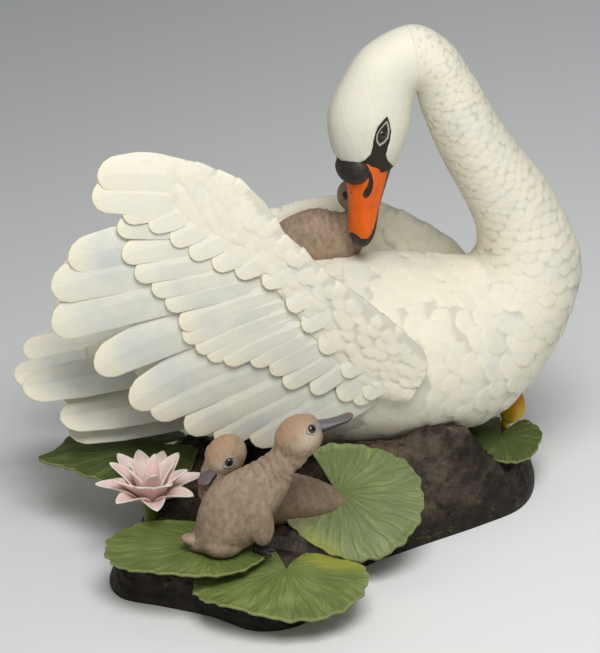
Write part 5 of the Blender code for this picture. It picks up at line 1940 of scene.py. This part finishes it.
CYGNETS = (
    Cygnet(
        name="cygnet_front",
        place=(-43, -91),
        yaw=10.0,
        stations=(
            ((-33, 40), (-30, 36.5), 3),
            ((-29, 50), (-17, 35), 12),
            ((-26, 64), (-4, 36), 17),
            ((-20, 76), (8, 42), 19),
            ((-8, 85), (19, 58), 17),
            ((6, 92), (27, 71), 13),
            ((16, 98), (32, 84), 9.8),
            ((22, 106), (35, 96), 8.5),
        ),
        head=(35.3, 108.6, 15.8, 13.2, 35.0),
        bill=((47, 113), (69, 120.6)),
        eye_at=(0.68, 0.28),
        painted_shadow=0.10,
        foot=(8.0, -9.0, 39.5),
        lumps=(
            ((9, -15, 60), (16, 5.5, 8.5), (100.0, 6.0)),
            ((9, 15, 60), (16, 5.5, 8.5), (100.0, -6.0)),
            ((-30, 0, 44), (8, 5, 4), (-15.0, 0.0)),
            ((-13, -10, 44.5), (13, 7.5, 8.5), (0.0, 0.0)),
            ((-13, 10, 44.5), (13, 7.5, 8.5), (0.0, 0.0)),
            ((32, 0, 98), (11, 9.8, 9), (62.0, 0.0)),
        ),
    ),
    Cygnet(
        name="cygnet_resting",
        place=(-18, -52),
        yaw=188.0,
        stations=(
            ((-44, 44.5), (-43, 42), 2.5),
            ((-29, 56), (-27, 36), 11.5),
            ((-7, 65), (-7, 33), 15),
            ((16, 67), (20, 33), 15.5),
            ((28, 68), (44, 40), 14),
            ((31, 73), (53, 55), 11.5),
            ((30, 80), (52, 70), 10),
            ((29, 86), (48, 81), 8.5),
        ),
        head=(35.8, 82, 14.3, 12.0, -35.0),
        bill=((44, 75.5), (55, 67)),
        eye_at=(0.26, 0.32),
        head_turn=30.0,
        # painted shadow: this cygnet lies under the swan's belly
        painted_shadow=0.38,
    ),
    Cygnet(
        name="cygnet_on_back",
        place=(6.6, 88),
        yaw=2.0,
        stations=(
            ((-40, 164), (-38, 160), 3),
            ((-26, 180), (-24, 152), 14),
            ((-6, 188.5), (-6, 145), 18),
            ((10, 186), (18, 148), 16),
            ((15, 186), (29, 168), 11.5),
            ((16, 193), (30, 183), 9),
        ),
        head=(22.3, 198.5, 14.5, 11.4, 10.0),
        bill=((30.5, 198), (38, 194)),
        eye_at=(0.30, 0.20),
        head_turn=-60.0,
    ),
)


# Pads, lily, bud and bank


@dataclass
class LilyPad:
    """A lily pad: a thin wavy leaf with a notch, on the bank."""

    name: str
    place: Point  # x, y and height of its heart's level
    reach: Point
    heart: Point
    notch: Point  # direction and half width in degrees
    tilt: Point
    wave: Point  # height, count and start
    droop: float = 0.0
    point: Point = (0.0, 0.0)  # direction in degrees and length of a drawn-out tip
    thickness: float = 1.8
    bright: float = 0.45
    aged: Sequence[Point] = ()  # direction, half width in degrees, from what share of the way out, strength
    brown: Sequence[Point] = ()

    def spot(self, angle: Array, share: Array) -> Array:
        """Places on the pad's top, in millimetres: an angle about the heart and a share of the way out."""
        turned = (angle - math.radians(self.point[0]) + math.pi) % (FULL_TURN) - math.pi
        drawn = 1 + self.point[1] / self.reach[0] * np.exp(-((turned / 0.22) ** 2))
        rim = np.stack([self.reach[0] * np.cos(angle), self.reach[1] * np.sin(angle)], axis=-1) * drawn[:, None]
        flat = np.array(self.heart) + (rim - self.heart) * share[:, None]
        height, count, start = self.wave
        up = flat @ np.array(self.tilt) + share**2 * (height * np.sin(count * angle + start) - self.droop)
        return np.column_stack([flat, up]) + np.array(self.place)

    def level_at(self, flat: Array) -> Array:
        """The pad's height in millimetres over points (x, y), rising steeply beside it."""
        away = flat - np.array(self.place[:2])
        share = np.zeros(len(flat))
        for _ in range(4):
            hub = np.array(self.heart) * (1 - share[:, None])
            scaled = (away - hub) / np.array(self.reach)
            share = np.linalg.norm(scaled, axis=1)
        angle = np.arctan2(scaled[:, 1], scaled[:, 0])
        level = self.spot(angle, np.minimum(share, 1.05))[:, 2]
        return level + np.maximum(share - 1.03, 0) * 5 * self.reach[0]

    def build(self, finish: Material) -> None:
        """Makes the pad: a fan from its heart, given a thickness."""
        bm, flat = grid(220, 34)
        lay_uv(bm, flat)
        half = math.radians(self.notch[1])
        start = math.radians(self.notch[0]) + half
        angle = start + flat[:, 0] * (FULL_TURN - 2 * half)
        share = np.maximum(1 - (1 - flat[:, 1]) ** 1.25, 0.012)
        side = np.minimum(flat[:, 0], 1 - flat[:, 0])
        ragged = 0.012 * np.sin(angle * 17 + 2.0) + 0.010 * np.sin(angle * 29.0 + self.place[0])
        rounded = 0.10 * smooth_step(0.035, 0.0, side)
        share = share * (1 + (ragged - rounded) * smooth_step(0.6, 1.0, share))
        spots = self.spot(angle, share)
        fan = np.abs(np.sin(flat[:, 0] * np.pi * PAD_VEINS))
        ridge = 0.34 * smooth_step(0.30, 0.0, fan) * smooth_step(0.02, 0.20, share) * (1 - 0.5 * share)
        ripple = bumpiness(spots * MM, 9 * MM, self.place[1], 3) * 0.42
        lip = 0.9 * smooth_step(0.90, 1.0, share) * (0.4 + 0.6 * np.sin(angle * 5 + self.place[0]))
        dish = -0.8 * smooth_step(0.22, 0.0, share)
        spots[:, 2] += ridge + ripple + lip + dish
        paints = {
            "bright": self.bright + 0.22 * bumpiness(spots * MM, 22 * MM, 4.0, 2),
            "aged": self._patches(self.aged, angle, share),
            "brown": self._patches(self.brown, angle, share),
        }
        carry(bm, spots * MM, paints)
        thicken(bm, bm.faces[:], (0.0, 0.0, -self.thickness * MM))
        put(self.name, to_mesh(bm, self.name), finish, Slot.PAD, self.name)

    def _patches(self, patches: Sequence[Point], angle: Array, share: Array) -> Array:
        """How much of a second colour each point takes."""
        total = np.zeros(len(angle))
        for direction, spread, begin, strength in patches:
            turned = (angle - math.radians(direction) + math.pi) % (FULL_TURN) - math.pi
            inside = smooth_step(math.radians(spread) * 1.3, math.radians(spread) * 0.4, np.abs(turned))
            total = np.maximum(total, inside * smooth_step(begin - 0.18, begin + 0.18, share) * strength)
        return total


PADS = (
    LilyPad("lily_pad_left", (-77, -92, 36.5), (50, 34), (20, 4), (24, 9), (0, 0.02), (1.5, 3, 0.6), bright=0.55),
    LilyPad(
        "lily_pad_front", (-19, -114, 27.5), (53, 37), (3, 11), (84, 13), (0, 0.10), (3, 3, 1.6), droop=2,
        bright=0.72, aged=((40, 34, 0.45, 0.55),),
    ),
    LilyPad(
        "lily_pad_right", (24, -50, 49), (46, 30), (-8, 2), (148, 25), (-0.08, 0.82), (3, 2, 1.2),
        bright=0.56, brown=((198, 30, 0.45, 0.62),), aged=((246, 22, 0.80, 0.38),),
    ),
    # painted shade: the back pad, in the shadow under the tail and the wing, is painted a dark green
    LilyPad(
        "lily_pad_back", (-118, 6, 54.5), (44, 38), (16, 6), (20, 9), (-0.04, 0.12), (2, 3, 1.0), droop=2,
        point=(190, 14), bright=0.12,
    ),
    LilyPad(
        "lily_pad_bud", (124, 62, 35.5), (29, 34), (4, 4), (63, 16), (0, 0.05), (2, 3, 0.4), droop=1,
        point=(8, 3), bright=0.10,
    ),
)


def leaf_slab(bm: BMesh, shape: Callable[[Array, Array], Array], columns: int, rows: int, way: Point) -> None:
    """Adds a petal: a grid that a formula shapes, with an underside that lies this way from it."""
    made = bmesh.ops.create_grid(bm, x_segments=columns, y_segments=rows, size=1.0)["verts"]
    flat = np.array([vert.co[:2] for vert in made]) / 2 + 0.5
    layer = bm.loops.layers.uv.get("laid") or bm.loops.layers.uv.new("laid")
    faces = list(dict.fromkeys(face for vert in made for face in vert.link_faces))
    number = {vert: index for index, vert in enumerate(made)}
    for face in faces:
        for loop in face.loops:
            loop[layer].uv = flat[number[loop.vert]]
    for vert, spot in zip(made, shape(flat[:, 0], flat[:, 1])):
        vert.co = spot
    thicken(bm, faces, way)


@dataclass
class WaterLily:
    """The pink water lily with its stamens."""

    place: Point = (-102, -43)
    heart_up: float = 43
    # For each ring: directions in degrees, rise in degrees, length, half width, distance from the middle
    rings: Sequence[tuple[Point, float, float, float, float]] = (
        ((190, 235, 281, 330, 22), 24.0, 33, 8.2, 3.5),
        ((74, 136), 42.0, 33, 8.2, 3.5),
        ((170, 214, 258, 305, 356, 48, 108), 47.0, 31, 8.0, 4.5),
        ((150, 205, 285, 20, 78), 70.0, 28, 6.8, 5.2),
    )
    stamen_count: int = 26

    def build_petals(self, finish: Material, green: Material) -> None:
        """The petals, pointed and cupped, and the stem under them."""
        bm = bmesh.new()
        middle = np.array((self.place[0], self.place[1], self.heart_up))
        rng = np.random.default_rng(5)
        for directions, rise, length, half, away in self.rings:
            for direction in directions:
                lean = math.radians(rise + rng.uniform(-4, 4))
                reach = length * rng.uniform(0.95, 1.05)
                self._petal(bm, middle, math.radians(direction), lean, (reach, half, away))
        put("water_lily", to_mesh(bm, "water_lily"), finish, Slot.PETAL, "water_lily")
        stalk = bmesh.new()
        line = middle + np.outer((-15.0, -7.0, 1.0), (0, 0, 1))
        add_tube(stalk, line * MM, np.array((4.2, 4.8, 7.0)) * MM, 20, 6)
        lay_uv(stalk, np.zeros((len(stalk.verts), 2)))
        put("lily_stem", to_mesh(stalk, "lily_stem"), green, Slot.PETAL)

    def _petal(self, bm: BMesh, middle: Array, direction: float, rise: float, sizes: Point) -> None:
        """Adds one petal, its sizes being length, half width and distance from the middle."""
        length, half, away = sizes
        out = np.array((math.cos(direction), math.sin(direction), 0.0))
        side = np.array((-math.sin(direction), math.cos(direction), 0.0))

        def shape(u: Array, v: Array) -> Array:
            across = v * 2 - 1
            wide = np.sin(np.pi * np.clip(u, 0, 1) ** 0.80) ** 0.62 * (1 - 0.10 * u)
            wide = np.maximum(wide, np.maximum(0.42 * (1 - u / 0.25), 0.02))
            bend = rise + 0.35 - 0.55 * u
            climb = rise + 0.30 - 0.30 * u
            run = np.column_stack([np.cos(climb), np.sin(climb)]) * (u * length)[:, None]
            normal = np.stack([-np.sin(bend), np.cos(bend)], axis=1)
            cup = 3.0 * across**2 * wide * np.sin(np.pi * np.clip(u, 0, 1)) - 0.5 * (1 - across**2)
            flat = run + cup[:, None] * normal
            spots = middle + np.outer(away + flat[:, 0], out) + np.outer(flat[:, 1], (0, 0, 1))
            return (spots + np.outer(across * wide * half, side)) * MM

        under = out * math.sin(rise) - np.array((0, 0, 1)) * math.cos(rise)
        leaf_slab(bm, shape, 18, 12, tuple(under * MM))

    def build_stamens(self, finish: Material) -> None:
        """A tuft of stamens on a low bed."""
        bm = bmesh.new()
        rng = np.random.default_rng(3)
        layer = bm.loops.layers.uv.new("laid")
        middle = np.array((self.place[0], self.place[1], self.heart_up + 2.0))
        for k in range(self.stamen_count):
            ring = 0.6 + 3.6 * math.sqrt(k / self.stamen_count)
            angle = k * GOLDEN_TURN
            out = np.array((math.cos(angle), math.sin(angle), 0.0))
            height = 12.5 - 0.9 * ring + rng.uniform(-1.2, 1.2)
            foot = middle + out * ring * 0.8
            points = foot + np.outer((0, 0.14, 0.55), out * ring) + np.outer((0, 0.5, 1.0), (0, 0, height))
            add_tube(bm, points * MM, np.array((0.55, 0.60, 0.78)) * MM, 8, 3)
        low, high = middle[2] * MM, (middle[2] + 12.5) * MM
        for face in bm.faces:
            for loop in face.loops:
                loop[layer].uv = ((loop.vert.co.z - low) / (high - low), 0.5)
        add = bmesh.ops.create_uvsphere(bm, u_segments=24, v_segments=12, radius=1.0)["verts"]
        bed = Matrix.Diagonal((4.6 * MM, 4.6 * MM, 3.0 * MM, 1.0))
        seat = Matrix.Translation(Vector(middle - (0, 0, 1.0)) * MM) @ bed
        bmesh.ops.transform(bm, matrix=seat, verts=add)
        put("lily_stamens", to_mesh(bm, "lily_stamens"), finish, Slot.STAMEN, "lily_stamens")


@dataclass
class YellowBud:
    """The closed golden bud on its short stem."""

    place: Point = (138.5, 97)
    up: float = 40  # its middle
    length: float = 25
    radius: float = 8.4
    lean: float = math.radians(24.0)

    def build(self, finish: Material) -> None:
        """An egg with a point, lobed by its folded petals, on a stem."""
        heading = np.array((math.sin(self.lean), 0.0, math.cos(self.lean)))
        foot = np.array((*self.place, self.up)) - heading * self.length / 2
        side = np.array((heading[2], 0.0, -heading[0]))

        def shape(u: Array, v: Array) -> Placed:
            angle = v * FULL_TURN
            body = np.clip((u - 0.30) / 0.70, 0, 1)
            wide = self.radius * np.sin(np.pi * body**0.85) ** 0.72
            wide = np.where(u < 0.34, np.maximum(wide, 3.4), wide)
            lobes = 1 + 0.055 * np.cos(5 * angle + 2.4 * body) * np.sin(np.pi * body)
            run = np.where(u < 0.30, (u / 0.30 - 1) * 16, body * self.length)
            axis = np.where((u < 0.30)[:, None], np.array((0, 0, 1.0)), heading)
            radial = np.outer(np.cos(angle), side) + np.outer(np.sin(angle), (0, 1.0, 0))
            return (foot + run[:, None] * axis + radial * (wide * lobes)[:, None]) * MM, {}

        put("yellow_bud", skin_mesh("yellow_bud", 70, 60, shape), finish, Slot.BUD, "yellow_bud")


@dataclass
class Bank:
    """The earth bank: a rough mound with a mauve lump and a log-like right end."""

    top: float = 36
    centre: Point = (10, 8)
    outline: Sequence[Point] = (
        (-127, -62), (-119, -90), (-92, -101), (-62, -113), (-34, -130), (-6, -122), (10, -90), (34, -52),
        (66, -28), (112, 3), (139, 26), (151, 58), (150, 98), (130, 124), (70, 130), (10, 126), (-46, 108),
        (-92, 72), (-106, 24), (-112, -18),
    )
    # For each: x and y of its middle, reach along x and y, rise
    lumps: Sequence[Point] = (
        (90, 16, 34, 22, 30),
        (36, -6, 34, 24, 26),
        (30, 62, 80, 45, 10),
        (-88, 18, 30, 36, 26),
        (-20, -30, 40, 20, 6),
    )

    def build(self, finish: Material, pads: Sequence[LilyPad]) -> None:
        """Makes the bank, lowered under each pad that lies on it."""
        rim = SmoothLine(self.outline, closed=True)

        def shape(u: Array, v: Array) -> Placed:
            share = 1 - (1 - v) ** 2.0
            edge = rim.at(u * rim.last)
            flat = np.array(self.centre) + (edge - self.centre) * share[:, None]
            height = np.full(len(u), float(self.top))
            for x, y, reach_x, reach_y, rise in self.lumps:
                away = ((flat[:, 0] - x) / reach_x) ** 2 + ((flat[:, 1] - y) / reach_y) ** 2
                height += rise * np.exp(-(away**1.5))
            height = height * np.sqrt(np.maximum(1 - share**7, 0.0))
            spots = np.column_stack([flat, height])
            clods = bumpiness(spots * MM, 15 * MM, 1.0, 4)
            small = bumpiness(spots * MM * (1.0, 1.0, 1.5), 4.5 * MM, 6.0, 3)
            log = smooth_step(60, 84, flat[:, 0]) * smooth_step(55, 25, flat[:, 1])
            grooves = np.abs(bumpiness(spots * MM * (0.35, 1.0, 1.0), 6 * MM, 8.0, 3))
            rough = 2.0 * clods + 0.9 * small - 2.6 * grooves * log
            calm = smooth_step(0.0, 10.0, height)
            outward = (flat - self.centre) / 90 * share[:, None] ** 3
            push = unit(np.column_stack([outward, np.full(len(u), 0.55)]))
            spots = spots + push * (np.minimum(rough - 1.2, 0.9) * calm)[:, None]
            for pad in pads:
                cap = pad.level_at(spots[:, :2]) - pad.thickness - 0.9
                spots[:, 2] = np.minimum(spots[:, 2], np.maximum(cap, 0.0))
            spots[:, 2] = np.maximum(spots[:, 2], 0.0)
            lump = np.exp(-(((flat[:, 0] - 36) / 40) ** 2) - ((flat[:, 1] + 6) / 30) ** 2)
            crown = np.clip(0.25 + 0.75 * lump + 0.5 * clods, 0, 1) * smooth_step(8, 26, height)
            mossy = smooth_step(0.15, 0.55, bumpiness(spots * MM, 12 * MM, 20.0, 2))
            return spots * MM, {"crown": crown, "mossy": mossy, "bark": log}

        put("bank", skin_mesh("bank", 420, 110, shape), finish, Slot.EARTH, "bank")


# Studio


@dataclass
class Studio:
    """The paper sweep, the lamps and the camera."""

    floor_half: Point = (1.6, 1.6)
    key_place: Point = (0.12, -0.80, 1.38)
    key_size: float = 0.8
    key_power: float = 19.0
    fill_place: Point = (-0.6, -1.5, 0.75)
    fill_size: float = 1.2
    fill_power: float = 1.0
    world_light: float = 0.22

    def _lamp(self, name: str, place: Point, size: float, power: float, at: Point) -> None:
        """Adds a square soft lamp that faces a point."""
        data = bpy.data.lights.new(name, "AREA")
        data.shape, data.size, data.energy = "SQUARE", size, power
        lamp = bpy.data.objects.new(name, data)
        lamp.location = place
        lamp.rotation_euler = (Vector(at) - Vector(place)).to_track_quat("-Z", "Y").to_euler()
        bpy.context.scene.collection.objects.link(lamp)

    def build(self, paper: Material) -> None:
        """Makes the studio."""
        bm = bmesh.new()
        bmesh.ops.create_grid(bm, x_segments=2, y_segments=2, size=1.0)
        bmesh.ops.scale(bm, vec=(*self.floor_half, 1.0), verts=bm.verts)
        bmesh.ops.translate(bm, vec=(0.0, 0.5, 0.0), verts=bm.verts)
        mesh = bpy.data.meshes.new("floor")
        bm.to_mesh(mesh)
        bm.free()
        floor = bpy.data.objects.new("floor", mesh)
        bpy.context.scene.collection.objects.link(floor)
        mesh.materials.append(paper)
        self._lamp("key", self.key_place, self.key_size, self.key_power, (0.0, 0.0, 0.12))
        self._lamp("fill", self.fill_place, self.fill_size, self.fill_power, (0.0, 0.0, 0.12))
        world = bpy.data.worlds.new("studio")
        world.use_nodes = True
        background = world.node_tree.nodes["Background"]
        background.inputs["Color"].default_value = (1.0, 1.0, 1.0, 1.0)
        background.inputs["Strength"].default_value = self.world_light
        bpy.context.scene.world = world
        bpy.context.scene.view_settings.view_transform = "Standard"
        VIEW.build()


def main() -> None:
    """Builds the group, its finishes and the studio, in order."""
    logging.basicConfig(level=logging.INFO, format="%(message)s")
    plumage, relief, skin = Plumage().build(), ReliefPlumage().build(), Skin().build()
    dark, eye = DarkSkin("knob_skin").build(), EyePaint("eye_paint").build()
    lid = DarkSkin("lid_paint").build()
    pale_lid = DarkSkin("cygnet_lid_paint", (0.30, 0.29, 0.26), (0.55, 0.50, 0.43)).build()
    body = SwanBody()
    body.build(relief)
    head = SwanHead(body)
    head_mesh = head.build_skin(skin)
    head.build_bill(BillPaint().build())
    head.build_knob(dark)
    head.build_eyes(head_mesh, eye, lid)
    for wing in (NEAR_WING, FAR_WING):
        wing.build(relief, plumage)
    Tail().build(plumage)
    down, small_bill = DownPaint().build(), CygnetBillPaint().build()
    for cygnet in CYGNETS:
        cygnet.build_body(down)
        cygnet.build_bill(small_bill)
        cygnet.build_eyes(eye, pale_lid)
        cygnet.build_foot(dark)
    for pad in PADS:
        pad.build(PadPaint(f"{pad.name}_paint").build())
    lily = WaterLily()
    lily.build_petals(PetalPaint("petal_paint").build(), BudPaint("lily_green").build())
    lily.build_stamens(StamenPaint().build())
    YellowBud().build(BudPaint().build())
    Bank().build(EarthPaint().build(), PADS)
    Studio().build(PaperSweep().build())


if __name__ == "__main__":
    main()
